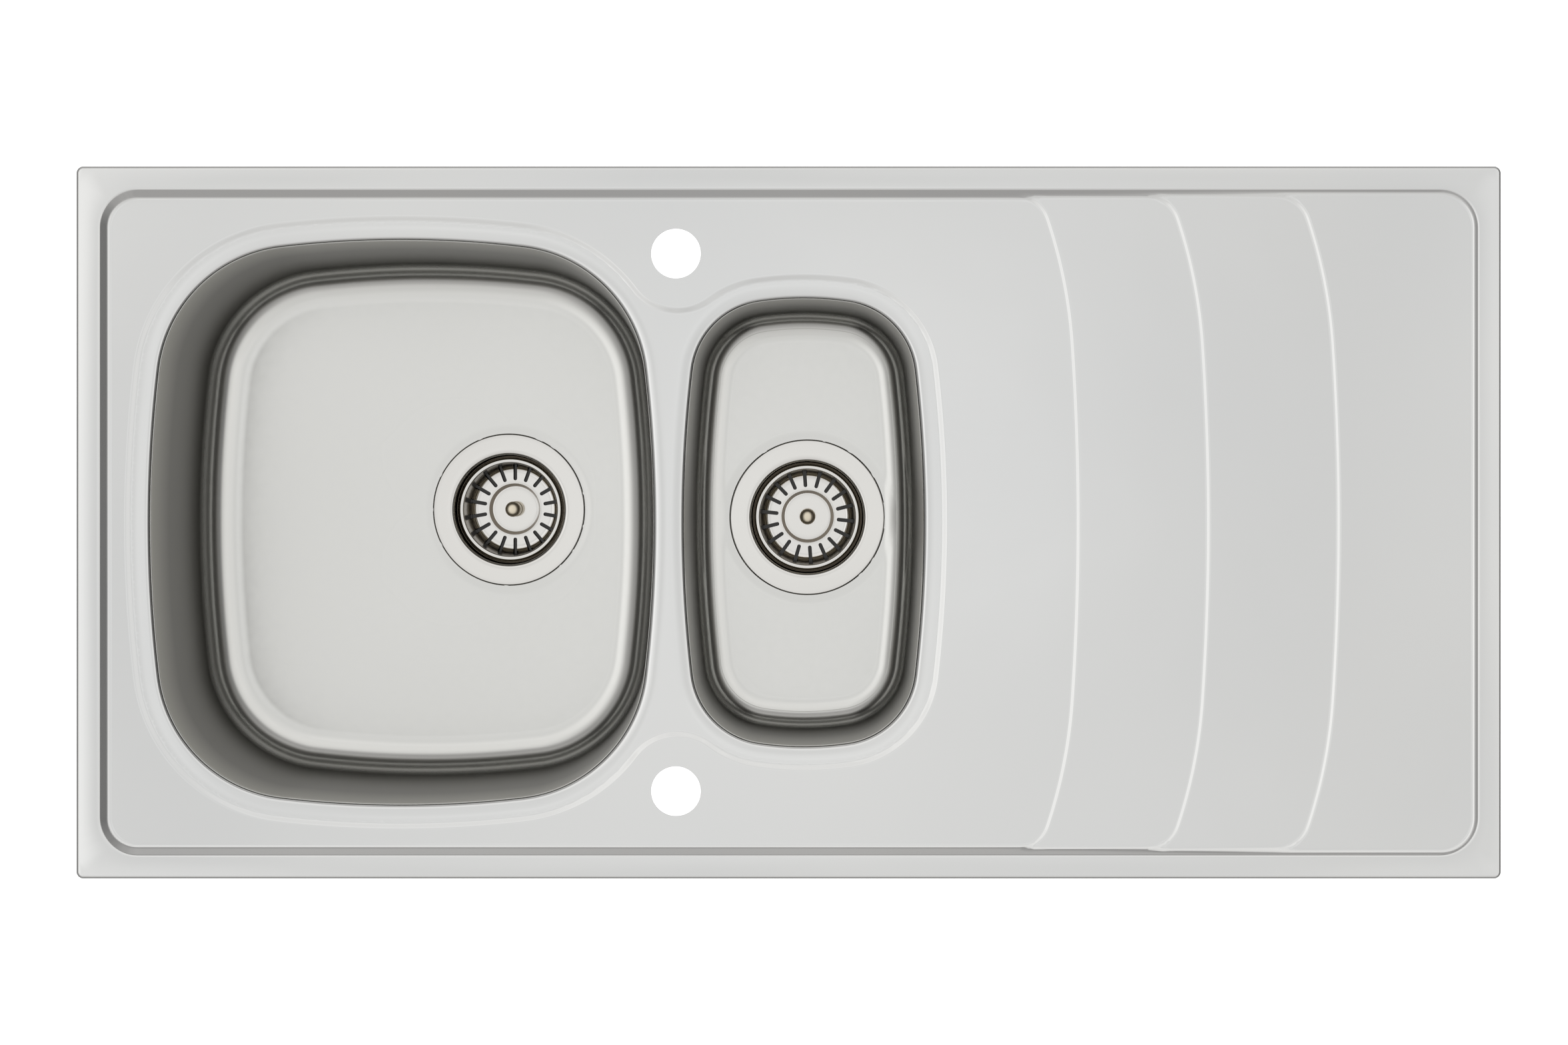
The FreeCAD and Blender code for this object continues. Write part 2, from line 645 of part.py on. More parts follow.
# ---------------------------------------------------------------- assembly
def all_parts():
    parts = {"deck": deck(), "rim_seal": rim_seal()}
    waste_makers = {
        "waste_flange": waste_flange, "flange_seal": flange_seal, "body_seal": body_seal,
        "waste_body": waste_body, "clamp_screw": clamp_screw, "basket": basket,
        "basket_knob": basket_knob, "basket_nut": basket_nut, "basket_seal": basket_seal,
    }
    for bowl in BOWLS:
        name = bowl["name"]
        parts[f"{name}_bowl"] = bowl_shell(bowl)
        parts[f"{name}_sound_pad"] = sound_pad(bowl)
        for piece, make in waste_makers.items():
            turn = bowl["strainer_turn"] if piece.startswith("basket") else 0
            parts[f"{name}_{piece}"] = placed(make(), bowl, turn)
    places = clip_places()
    parts["clip_bridges"] = Part.makeCompound([at_clip(clip_bridge(), p) for p in places])
    for number, place in enumerate(places, 1):
        parts[f"clip_{number}_screw"] = at_clip(clip_screw(), place)
        parts[f"clip_{number}_washer"] = at_clip(clip_washer(), place)
        parts[f"clip_{number}_claw"] = at_clip(clip_claw(), place)
    return parts


os.makedirs("parts", exist_ok=True)
for node, shape in all_parts().items():
    solids = shape.Solids
    print(f"{node}: {len(solids)} solid(s), {sum(s.Volume for s in solids) / 1000:.2f} cm3,",
          "valid" if all(s.isValid() for s in solids) else "NOT VALID")
    Part.makeCompound(solids).exportStep(f"parts/{node}.step")
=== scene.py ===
# %% [markdown]
# # A stainless steel kitchen sink
# The sink is one pressed deck with a drainer, two drawn bowls welded under it, a basket strainer
# in each bowl and eight clips that hold it in the worktop. The imported model gives every size and
# place. This script adds the surfaces that the eye judges: soft pressed edges, satin and polished
# steel, threads and slots. Lengths below are in millimetres until a mesh is made.

# %% Load the imported sink
import math

import bmesh
import bpy
import numpy as np
from mathutils import Matrix, Vector, geometry, kdtree


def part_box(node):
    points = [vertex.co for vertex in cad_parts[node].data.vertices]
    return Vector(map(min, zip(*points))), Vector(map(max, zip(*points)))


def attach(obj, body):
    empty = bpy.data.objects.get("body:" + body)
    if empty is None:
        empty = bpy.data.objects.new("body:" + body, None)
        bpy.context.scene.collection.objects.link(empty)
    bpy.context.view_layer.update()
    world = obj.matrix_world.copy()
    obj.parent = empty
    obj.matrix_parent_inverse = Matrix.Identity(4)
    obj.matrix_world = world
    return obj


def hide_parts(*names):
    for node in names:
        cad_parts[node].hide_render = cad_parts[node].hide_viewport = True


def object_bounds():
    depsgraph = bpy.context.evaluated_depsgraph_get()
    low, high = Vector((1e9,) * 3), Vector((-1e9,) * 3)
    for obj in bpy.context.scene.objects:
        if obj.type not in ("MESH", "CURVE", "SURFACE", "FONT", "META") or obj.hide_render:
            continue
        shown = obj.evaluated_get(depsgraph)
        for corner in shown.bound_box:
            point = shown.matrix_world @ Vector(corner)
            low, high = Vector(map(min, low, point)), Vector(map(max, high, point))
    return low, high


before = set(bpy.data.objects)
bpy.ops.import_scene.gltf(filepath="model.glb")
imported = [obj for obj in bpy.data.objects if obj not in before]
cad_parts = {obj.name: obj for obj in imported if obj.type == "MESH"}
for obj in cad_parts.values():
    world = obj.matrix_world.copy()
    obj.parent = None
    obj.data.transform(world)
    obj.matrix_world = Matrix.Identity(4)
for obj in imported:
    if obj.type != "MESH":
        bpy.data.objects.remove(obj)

cad_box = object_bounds()
MM = 0.001


def node_box(name):
    """A CAD node's lowest and highest corners, in millimetres."""
    low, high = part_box(name)
    return np.array(low) / MM, np.array(high) / MM


deck_low, deck_high = node_box("deck")
print("deck", np.round(deck_high - deck_low, 1), "mm")

# %% [markdown]
# ## Sizes
# The deck's outer size, its rim height and the collar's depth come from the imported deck. The bowls'
# sizes come from their own nodes, less the sheet. What a bounding box can't say, such as how
# tight a corner is, is a named value here.

# %% Sizes of the pressing
SHEET = 1.0
LENGTH = deck_high[0] - deck_low[0]
WIDTH = deck_high[1] - deck_low[1]
RIM_TOP = deck_high[2]
COLLAR_BOTTOM = deck_low[2]
CORNER_R = 5.0
EDGE_ROLL_R = 2.5
SKIRT_BOTTOM = 0.5
DECK_TOP = 1.2
SURROUND_TOP = 0.0
RIM_WIDTH = 16.0
RIM_INNER_R = 27.0
SLOPE_WIDTH = 6.5
SLOPE_FALL = (RIM_TOP - DECK_TOP) / SLOPE_WIDTH
RISERS_X = (202.2, 293.6, 385.0)
RISER_RUN = 2.4
RISER_STEP = 0.8
RISER_R, RISER_BEND_R, RISER_END_R = 1880.0, 350.0, 22.0
RISER_STRAIGHT_Y = 125.0
RISER_END_Y = WIDTH / 2 - RIM_WIDTH - SLOPE_WIDTH + 0.6
SURROUND_WIDTH = 13.2
SURROUND_RUN = 3.6
TAP_HOLES = ((-79.3, 189.0), (-79.3, -189.0))
TAP_HOLE_R = 17.5
NOTCH_R = 40.0
OPENING_ROLL = 3.0
DRAFT = math.radians(3.2)
RECESS_DEPTH = 2.5
SEAT_R, SEAT_DIP, SEAT_DIP_RUN, SEAT_DIP_EASE = 57.25, 0.7, 6.5, 2.0
SEAT_STEPS = 144
FLAT_START = 1.5


def bowl_sizes(name, side_r, end_r, corner_r, floor_r):
    """A bowl's opening, depth and waste position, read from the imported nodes."""
    low, high = node_box(f"{name}_bowl")
    waste_low, waste_high = node_box(f"{name}_waste_flange")
    return {
        "name": name, "x": (low[0] + high[0]) / 2, "y": (low[1] + high[1]) / 2,
        "half_x": (high[0] - low[0]) / 2 - SHEET, "half_y": (high[1] - low[1]) / 2 - SHEET,
        "side_r": side_r, "end_r": end_r, "corner_r": corner_r, "floor_r": floor_r,
        "floor": low[2] + SHEET + RECESS_DEPTH,
        "waste": (waste_low[:2] + waste_high[:2]) / 2,
    }


MAIN = bowl_sizes("main", 925.0, 730.0, 97.5, 27.0)
HALF = bowl_sizes("half", 925.0, 217.5, 54.6, 20.0)
for bowl in (MAIN, HALF):
    print(bowl["name"], "bowl", round(2 * bowl["half_x"]), "by", round(2 * bowl["half_y"]),
          "mm, floor at", round(bowl["floor"], 1))

# %% [markdown]
# ## Outlines made of arcs
# Every edge on the deck is a chain of arcs that touch. Such a chain is easy to widen: each point
# moves along its own outward direction and stays in step with its neighbours, so rings taken at
# different widths line up and can be joined by clean rows of quads. An outline is kept as two
# arrays, its points and its outward directions.

# %% Arcs and rings


def crossing(c1, r1, c2, r2):
    """Where two circles cross, on the upper right."""
    across = c2 - c1
    gap = np.hypot(*across)
    along = (r1 * r1 - r2 * r2 + gap * gap) / (2 * gap)
    off = math.sqrt(r1 * r1 - along * along)
    foot = c1 + across / gap * along
    side = np.array([-across[1], across[0]]) / gap * off
    return max((foot + side, foot - side), key=lambda p: p[0] + p[1])


def touching(first, second):
    """Where two tangent circles touch. A hollow arc has a negative radius."""
    (c1, r1), (c2, r2) = first, second
    if r1 * r2 < 0:
        return c1 + (c2 - c1) / np.hypot(*(c2 - c1)) * abs(r1)
    (big, _), (small, r) = (first, second) if abs(r1) > abs(r2) else (second, first)
    return small + (small - big) / np.hypot(*(small - big)) * abs(r)


def arc_chain(circles, step):
    """A closed outline round tangent circles, anticlockwise, with a point about every step."""
    points, outward = [], []
    for i, (centre, radius) in enumerate(circles):
        start = touching(circles[i - 1], circles[i]) - centre
        end = touching(circles[i], circles[(i + 1) % len(circles)]) - centre
        a0, a1 = math.atan2(start[1], start[0]), math.atan2(end[1], end[0])
        turn = (a1 - a0) % (2 * math.pi)
        if radius < 0:
            turn -= 2 * math.pi
        count = max(4, math.ceil(abs(radius * turn) / step), math.ceil(abs(turn) / 0.11))
        for a in a0 + turn * np.arange(count) / count:
            ray = np.array([math.cos(a), math.sin(a)])
            points.append(centre + abs(radius) * ray)
            outward.append(ray if radius > 0 else -ray)
    return np.array(points), np.array(outward)


def rounded_rectangle(half_x, half_y, radius, step, corner_steps):
    """A closed outline: a rectangle about the origin with rounded corners."""
    points, outward = [], []
    signs = ((1, 1), (-1, 1), (-1, -1), (1, -1))
    for k, (sx, sy) in enumerate(signs):
        centre = np.array([sx * (half_x - radius), sy * (half_y - radius)])
        for a in k * math.pi / 2 + math.pi / 2 * np.arange(corner_steps + 1) / corner_steps:
            ray = np.array([math.cos(a), math.sin(a)])
            points.append(centre + radius * ray)
            outward.append(ray)
        nx, ny = signs[(k + 1) % 4]
        there = np.array([nx * (half_x - radius), ny * (half_y - radius)]) + radius * ray
        count = math.ceil(np.hypot(*(there - points[-1])) / step)
        here = points[-1]
        for t in np.arange(1, count) / count:
            points.append(here + (there - here) * t)
            outward.append(ray)
    return np.array(points), np.array(outward)


def ring(outline, grow, z=None):
    """The outline widened by grow, flat in two dimensions or set at a height."""
    flat = outline[0] + outline[1] * grow
    if z is None:
        return flat
    return np.column_stack([flat, np.broadcast_to(z, len(flat))])


def bowl_circles(bowl):
    """The eight circles of a bowl's opening, from the right-hand side round."""
    middle = np.array([bowl["x"], bowl["y"]])
    side = np.array([bowl["half_x"] - bowl["side_r"], 0.0])
    end = np.array([0.0, bowl["half_y"] - bowl["end_r"]])
    corner = crossing(
        side, bowl["side_r"] - bowl["corner_r"], end, bowl["end_r"] - bowl["corner_r"]
    )
    quarter = ((side, "side_r"), (corner, "corner_r"), (end, "end_r"))
    order = ((0, 1, 1), (1, 1, 1), (2, 1, 1), (1, -1, 1), (0, -1, 1), (1, -1, -1), (2, 1, -1), (1, 1, -1))
    return [
        (middle + quarter[i][0] * np.array([sx, sy]), bowl[quarter[i][1]]) for i, sx, sy in order
    ]


def surround_circles():
    """Both bowls' circles joined into one outline, hollowed beside each tap hole."""
    main, half = bowl_circles(MAIN), bowl_circles(HALF)
    reach = SURROUND_WIDTH + NOTCH_R
    notch = crossing(main[1][0], main[1][1] + reach, half[3][0], half[3][1] + reach)
    return half[0:4] + [(notch, -reach)] + main[1:8] + [(notch * (1, -1), -reach)] + half[5:8]


EDGE = rounded_rectangle(LENGTH / 2, WIDTH / 2, CORNER_R, 8.0, 8)
SLOPE = rounded_rectangle(LENGTH / 2 - RIM_WIDTH, WIDTH / 2 - RIM_WIDTH, RIM_INNER_R, 5.0, 16)
SURROUND = arc_chain(surround_circles(), 3.0)
OPENINGS = {bowl["name"]: arc_chain(bowl_circles(bowl), 4.0) for bowl in (MAIN, HALF)}
print("points on the surround's outline:", len(SURROUND[0]))

# %% [markdown]
# ## The deck's shape as a height
# A pressed sheet has one height at each place, so its top face can be a formula. Each step is a
# ramp whose two creases are rounded, as a press tool's are. The ramps are measured from the
# outlines: how far a point is outside the surround, right of a riser, or inside the rim. Where the
# rim's slope meets the drainer's steps, the higher of the two wins, with a small fillet.

# %% Distances and ramps


def soft_rise(distance, run, ease):
    """0 before a ramp and 1 after it, with both creases rounded over ease."""

    def bend(u):
        return np.where(u < -ease, 0.0, np.where(u > ease, u, (u + ease) ** 2 / (4 * ease)))

    return (bend(distance) - bend(distance - run)) / run


def outline_distance(points, outline):
    """Signed distance from each point to an outline, positive outside it."""
    tree = kdtree.KDTree(len(outline[0]))
    for i, p in enumerate(outline[0]):
        tree.insert((p[0], p[1], 0), i)
    tree.balance()
    nearest = [tree.find((x, y, 0))[1] for x, y in points]
    return np.einsum("ij,ij->i", points - outline[0][nearest], outline[1][nearest])


def rim_distance(points):
    """How far inside the rim's inner outline each point is."""
    q = np.abs(points) - (np.array([LENGTH, WIDTH]) / 2 - RIM_WIDTH - RIM_INNER_R)
    outside = np.hypot(*np.maximum(q, 0).T) + np.minimum(q.max(axis=1), 0)
    return RIM_INNER_R - outside


def riser_outline(x, step):
    """The open outline of one riser from its front end to its rear end."""
    long_centre = np.array([x - RISER_R, 0.0])
    lean = math.asin(RISER_STRAIGHT_Y / RISER_R)
    bend_centre = long_centre + (RISER_R - RISER_BEND_R) * np.array([math.cos(lean), math.sin(lean)])
    reach = RISER_BEND_R - RISER_END_R
    curl = math.asin((RISER_END_Y - RISER_END_R - bend_centre[1]) / reach)
    end_centre = bend_centre + reach * np.array([math.cos(curl), math.sin(curl)])
    points, outward = [], []
    arcs = ((long_centre, RISER_R, 0, lean), (bend_centre, RISER_BEND_R, lean, curl),
            (end_centre, RISER_END_R, curl, math.pi / 2))
    for centre, radius, a0, a1 in arcs:
        count = max(6, math.ceil(radius * (a1 - a0) / step))
        for a in a0 + (a1 - a0) * np.arange(count) / count:
            ray = np.array([math.cos(a), math.sin(a)])
            points.append(centre + radius * ray)
            outward.append(ray)
    points, outward = np.array(points), np.array(outward)
    front = np.array([1, -1])
    return (np.vstack([points[:0:-1] * front, points]), np.vstack([outward[:0:-1] * front, outward]))


RISERS = [riser_outline(x, 3.0) for x in RISERS_X]
FINE_RISERS = [riser_outline(x, 0.5) for x in RISERS_X]
FINE_SURROUND = arc_chain(surround_circles(), 0.5)
FINE_OPENINGS = {bowl["name"]: arc_chain(bowl_circles(bowl), 0.5) for bowl in (MAIN, HALF)}

# %% The height of the deck
CREASE = 0.7
RIM_CREASE = 0.7
FILLET = 1.0
DISH_WIDTH = 9.0
DISH_DROP = 0.7


def deck_height(points):
    """Height of the deck's top face at each point."""
    height = np.full(len(points), DECK_TOP)
    for outline in FINE_RISERS:
        height += RISER_STEP * soft_rise(outline_distance(points, outline), RISER_RUN, CREASE)
    outside = outline_distance(points, FINE_SURROUND) - SURROUND_WIDTH
    height -= (DECK_TOP - SURROUND_TOP) * (1 - soft_rise(outside, SURROUND_RUN, CREASE))
    for outline in FINE_OPENINGS.values():
        near = np.clip(1 - (outline_distance(points, outline) - OPENING_ROLL) / DISH_WIDTH, 0, 1)
        height -= DISH_DROP * near * near
    inside = rim_distance(points)
    slope = RIM_TOP - SLOPE_FALL * np.where(
        inside < -RIM_CREASE, 0.0,
        np.where(inside > RIM_CREASE, inside, (inside + RIM_CREASE) ** 2 / (4 * RIM_CREASE)),
    )
    apart = np.maximum(FILLET - np.abs(slope - height), 0) / FILLET
    return np.maximum(slope, height) + apart * apart * FILLET / 4


# %% [markdown]
# ## Turning outlines into a skin
# The flat and gently shaped parts of the deck are filled with triangles between rings that follow
# every crease. Rows of points lie close together across a crease and far apart along it, so the
# light bends smoothly over each edge. Points from two features that would crowd each other are
# thinned first. The fill itself is Blender's constrained Delaunay triangulation.

# %% Filling between rings


def thinned(families):
    """Points of all families, leaving out those too near to an earlier family's points."""
    kept = np.zeros((0, 2))
    for points, clearance in families:
        if len(kept) and clearance:
            tree = kdtree.KDTree(len(kept))
            for i, p in enumerate(kept):
                tree.insert((p[0], p[1], 0), i)
            tree.balance()
            far = [tree.find((x, y, 0))[2] > clearance for x, y in points]
            points = points[np.array(far)]
        kept = np.vstack([kept, points])
    return kept


def filled(loops, inner_points, keep):
    """Triangles over closed loops and loose points. keep says which centres lie on the skin."""
    corners, edges = [], []
    for loop in loops:
        first = len(corners)
        corners += [Vector(p) for p in loop]
        edges += [(first + i, first + (i + 1) % len(loop)) for i in range(len(loop))]
    corners += [Vector(p) for p in inner_points]
    verts, _, faces, _, _, _ = geometry.delaunay_2d_cdt(corners, edges, [], 0, 1e-5, False)
    verts, faces = np.array([v[:] for v in verts]), np.array(faces)
    faces = faces[keep(verts[faces].mean(axis=1))]
    used, faces = np.unique(faces, return_inverse=True)
    return verts[used], faces.reshape(-1, 3)


def thicken(bm, thickness):
    """Gives an open skin a back at this distance behind its front, and closes its rims."""
    bm.normal_update()
    back = {v: bm.verts.new(v.co - v.normal * thickness) for v in list(bm.verts)}
    for face in list(bm.faces):
        bm.faces.new([back[v] for v in reversed(face.verts)])
    for edge in [e for e in bm.edges if len(e.link_loops) == 1 and e.verts[0] in back]:
        loop = edge.link_loops[0]
        b, a = loop.vert, loop.link_loop_next.vert
        bm.faces.new([a, b, back[b], back[a]])


class Skin:
    """Points and faces gathered piece by piece. Faces turn their front to the top or the inside."""

    def __init__(self):
        self.points, self.faces, self.count = [], [], 0

    def add(self, points, faces):
        self.points.append(np.asarray(points, float))
        self.faces += [[i + self.count for i in face] for face in faces]
        self.count += len(points)

    def add_rings(self, rings, closed=True, skip=None):
        """Rows of quads between rings of equal length. skip(row, column) leaves a quad out."""
        size = len(rings[0])
        quads = []
        for row in range(len(rings) - 1):
            for i in range(size if closed else size - 1):
                if skip and skip(row, i):
                    continue
                j = (i + 1) % size
                a, b = row * size, (row + 1) * size
                quads.append([a + i, a + j, b + j, b + i])
        self.add(np.vstack(rings), quads)

    def mesh(self, name, merge=0.002, thickness=0.0, flip=False):
        """One Blender mesh in metres, merged, and given a thickness behind its front if asked."""
        bm = bmesh.new()
        verts = [bm.verts.new(p) for p in np.vstack(self.points)]
        for face in self.faces:
            try:
                bm.faces.new([verts[i] for i in (reversed(face) if flip else face)])
            except ValueError:
                pass
        bmesh.ops.remove_doubles(bm, verts=bm.verts, dist=merge)
        bmesh.ops.dissolve_degenerate(bm, edges=bm.edges, dist=merge / 4)
        loose = [v for v in bm.verts if not v.link_faces]
        bmesh.ops.delete(bm, geom=loose, context="VERTS")
        if thickness:
            thicken(bm, thickness)
        bmesh.ops.scale(bm, vec=(MM, MM, MM), verts=bm.verts)
        mesh = bpy.data.meshes.new(name)
        bm.to_mesh(mesh)
        bm.free()
        return mesh


def circle(centre, radius, count):
    """Points round a circle."""
    a = 2 * math.pi * np.arange(count) / count
    return np.column_stack([centre[0] + radius * np.cos(a), centre[1] + radius * np.sin(a)])


def show(mesh, name, body, replaces, material, sharp=35):
    """Puts a finished mesh in the scene, shaded smooth except across sharp edges."""
    piece = bpy.data.objects.new(name, mesh)
    bpy.context.scene.collection.objects.link(piece)
    mesh.shade_smooth()
    mesh.set_sharp_from_angle(angle=math.radians(sharp))
    mesh.materials.clear()
    mesh.materials.append(material)
    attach(piece, body)
    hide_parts(*replaces)
    print(name, len(mesh.polygons), "faces")
    return piece


# %% [markdown]
# ## Materials
# One small function adds a shader node with its settings and its links. Another turns a hex colour
# into the linear values that Blender works in. Every pattern reads Object coordinates, so one unit
# is one metre and a scale can be worked out from a real size.

# %% Shader helpers


def linear(hex_colour):
    """An sRGB hex colour as linear red, green, blue and alpha."""
    values = [int(hex_colour[i:i + 2], 16) / 255 for i in (1, 3, 5)]
    return [v / 12.92 if v <= 0.04045 else ((v + 0.055) / 1.055) ** 2.4 for v in values] + [1.0]


def add(tree, kind, inputs=None, **settings):
    """Adds a node. An input is a value, or another node's output, which is linked."""
    node = tree.nodes.new(kind)
    for key, value in settings.items():
        setattr(node, key, value)
    for key, value in (inputs or {}).items():
        if isinstance(value, bpy.types.NodeSocket):
            tree.links.new(value, node.inputs[key])
        else:
            node.inputs[key].default_value = value
    return node


def darkened(tree, colour, depth, low, high, at_low, at_high):
    """The colour multiplied by a factor that changes between two heights, in millimetres."""
    factor = add(tree, "ShaderNodeMapRange", {
        "Value": depth, "From Min": low * MM, "From Max": high * MM, "To Min": at_low, "To Max": at_high,
    }).outputs[0]
    return add(tree, "ShaderNodeVectorMath", {0: colour, 1: factor}, operation="MULTIPLY").outputs[0]


def steel(name, light, dark, roughness, spread, grain, grain_height, wave_height, anisotropy=0.0,
          wall=None, painted_depth_shade=None, inside_of=None):
    """Bare metal: colour and roughness drift a little, with fine grain and a slow wave in the sheet.

    grain is the grain's size in millimetres along X, Y and Z. wall is the rougher finish that
    steep faces take, with a darker colour painted on them as shade that deepens with depth. With
    inside_of, only faces turned towards that point take it. The other depth range paints shade on
    the whole colour: everything darkens with depth.
    """
    material = bpy.data.materials.new(name)
    material.use_nodes = True
    tree = material.node_tree
    tree.nodes.clear()
    place = add(tree, "ShaderNodeTexCoord").outputs["Object"]
    per_metre = [1 / (MM * size) for size in grain]
    stretched = add(tree, "ShaderNodeMapping", {"Vector": place, "Scale": per_metre}).outputs[0]
    fine = add(tree, "ShaderNodeTexNoise", {"Vector": stretched, "Scale": 1.0, "Detail": 3.0})
    slow = add(tree, "ShaderNodeTexNoise", {"Vector": place, "Scale": 7.0, "Detail": 2.0})
    patch = add(tree, "ShaderNodeTexNoise", {"Vector": place, "Scale": 3.2, "Detail": 1.0})
    rough = add(
        tree, "ShaderNodeMapRange",
        {"Value": fine.outputs[0], "To Min": roughness - spread, "To Max": roughness + spread},
    )
    tint = add(tree, "ShaderNodeMix", {0: patch.outputs[0], 6: linear(dark), 7: linear(light)},
               data_type="RGBA")
    colour, dullness = tint.outputs[2], rough.outputs[0]
    depth = add(tree, "ShaderNodeSeparateXYZ", {"Vector": place}).outputs["Z"]
    if wall:
        normal = add(tree, "ShaderNodeTexCoord").outputs["Normal"]
        facing = add(tree, "ShaderNodeSeparateXYZ", {"Vector": normal}).outputs["Z"]
        level = add(tree, "ShaderNodeMath", {0: facing}, operation="ABSOLUTE").outputs[0]
        flatness = add(tree, "ShaderNodeMapRange",
                       {"Value": level, "From Min": 0.1, "From Max": 0.5}).outputs[0]
        if inside_of is not None:
            outward = add(tree, "ShaderNodeVectorMath", {0: place, 1: inside_of},
                          operation="SUBTRACT").outputs[0]
            turned_out = add(tree, "ShaderNodeVectorMath", {0: outward, 1: normal},
                             operation="DOT_PRODUCT").outputs["Value"]
            outside = add(tree, "ShaderNodeMath", {0: turned_out, 1: 0.0},
                          operation="GREATER_THAN").outputs[0]
            flatness = add(tree, "ShaderNodeMath", {0: flatness, 1: outside},
                           operation="MAXIMUM").outputs[0]
        # Painted shade: steep faces take a darker colour, darker still lower down.
        steep = darkened(tree, linear(wall[0])[:3], depth, *wall[2])
        colour = add(tree, "ShaderNodeMix", {0: flatness, 6: steep, 7: colour},
                     data_type="RGBA").outputs[2]
        dullness = add(tree, "ShaderNodeMix", {0: flatness, 2: wall[1], 3: dullness},
                       data_type="FLOAT").outputs[0]
    # Painted shade: the whole colour darkens with depth.
    if painted_depth_shade:
        colour = darkened(tree, colour, depth, *painted_depth_shade)
    wave = add(tree, "ShaderNodeBump",
               {"Height": slow.outputs[0], "Distance": wave_height * MM, "Strength": 1.0})
    bump = add(tree, "ShaderNodeBump", {
        "Height": fine.outputs[0], "Distance": grain_height * MM, "Strength": 1.0,
        "Normal": wave.outputs[0],
    })
    surface = add(tree, "ShaderNodeBsdfPrincipled", {
        "Base Color": colour, "Metallic": 1.0, "Roughness": dullness,
        "Anisotropic": anisotropy, "Normal": bump.outputs[0],
    })
    add(tree, "ShaderNodeOutputMaterial", {"Surface": surface.outputs[0]})
    return material


def moulded(name, light, dark, roughness, speckle, height):
    """Plastic or rubber: two close colours mixed by a speckle that is also a shallow bump."""
    material = bpy.data.materials.new(name)
    material.use_nodes = True
    tree = material.node_tree
    tree.nodes.clear()
    place = add(tree, "ShaderNodeTexCoord").outputs["Object"]
    grain = add(tree, "ShaderNodeTexNoise",
                {"Vector": place, "Scale": 1 / (MM * speckle), "Detail": 4.0})
    tint = add(tree, "ShaderNodeMix", {0: grain.outputs[0], 6: linear(dark), 7: linear(light)},
               data_type="RGBA")
    rough = add(tree, "ShaderNodeMapRange",
                {"Value": grain.outputs[0], "To Min": roughness - 0.08, "To Max": roughness + 0.08})
    bump = add(tree, "ShaderNodeBump",
               {"Height": grain.outputs[0], "Distance": height * MM, "Strength": 1.0})
    surface = add(tree, "ShaderNodeBsdfPrincipled", {
        "Base Color": tint.outputs[2], "Roughness": rough.outputs[0], "Normal": bump.outputs[0],
    })
    add(tree, "ShaderNodeOutputMaterial", {"Surface": surface.outputs[0]})
    return material


# %% [markdown]
# The deck is stainless steel with a fine satin finish, rolled along the sheet, so its grain is
# long in X and short in Y. It gives soft reflections with a slight streak. The bowls are drawn
# from the same steel, and the press leaves them a little more matt; on top of that their steep
# inner walls are painted darker, more so lower down, as painted shade. The strainer parts are
# polished after forming, so they mirror more clearly. The basket's steep faces are painted dark
# brown as a painted reflection, and the cup's colour is painted darker with depth as painted
# shade, and that is why the slots read black. The knob is warm satin nickel.

# %% Steels and plastics
satin_deck = steel("satin stainless, rolled along the sheet", "#dededc", "#d2d3d3",
                   0.13, 0.03, (30.0, 0.5, 0.5), 0.002, 0.4)
# Painted shade: the bowls' steep inner walls are painted a darker grey, darker still towards the floor; their
# higher roughness is the drawn finish.
drawn_bowl = {
    bowl["name"]: steel(
        f"satin stainless, deep drawn, {bowl['name']} bowl", "#dcdcd9", "#cfcfcc",
        0.20, 0.03, (6.0, 6.0, 0.6), 0.002, 0.5, wall=("#a2a09a", 0.36, (-50, -4, 0.40, 0.95)),
        inside_of=(bowl["x"] * MM, bowl["y"] * MM, 0.0),
    ) for bowl in (MAIN, HALF)
}
# Painted reflection: the basket's steep faces are painted dark brown, the dark reflection its polished walls
# show.
pressed_basket = steel("stainless, polished basket", "#deddda", "#d3d1cc", 0.10, 0.02, (0.6, 0.6, 0.6),
                       0.001, 0.0, wall=("#7d756a", 0.16, (-200, 0, 1.0, 1.0)))
mill_steel = steel("stainless, mill finish", "#b9b9b6", "#a9a9a6", 0.34, 0.05, (2.0, 0.5, 0.5), 0.004, 0.0)
nickel = steel("satin nickel plating", "#ece3d0", "#d8ccb4", 0.38, 0.04, (0.5, 0.5, 0.5), 0.001, 0.0)
zinc = steel("steel, bright zinc plated", "#b9bfc4", "#9ea5ab", 0.30, 0.06, (1.2, 1.2, 1.2), 0.004, 0.0)
black_rubber = moulded("black rubber, moulded", "#1d1d1e", "#121213", 0.62, 0.4, 0.01)
black_foam = moulded("black foam strip, closed cell", "#1b1b1c", "#0e0e0f", 0.85, 0.8, 0.12)
white_seal = moulded("white foam ring, polyethylene", "#e6e5e0", "#d3d2cc", 0.70, 0.7, 0.08)
white_plastic = moulded("white polypropylene, moulded", "#eeeeeb", "#e2e2de", 0.42, 0.8, 0.02)
bitumen = moulded("grey damping pad, bitumen felt", "#4a4a4b", "#2f2f31", 0.88, 1.1, 0.25)

# %% [markdown]
# ## The deck
# Rings of points follow the rim's slope, the surround, the risers and the openings. The fill takes
# its heights from the formula. Then the rolled outer edge and the collars of the two openings are
# swept on as rows of quads, and the whole skin is given the sheet's thickness.

# %% Points on the deck


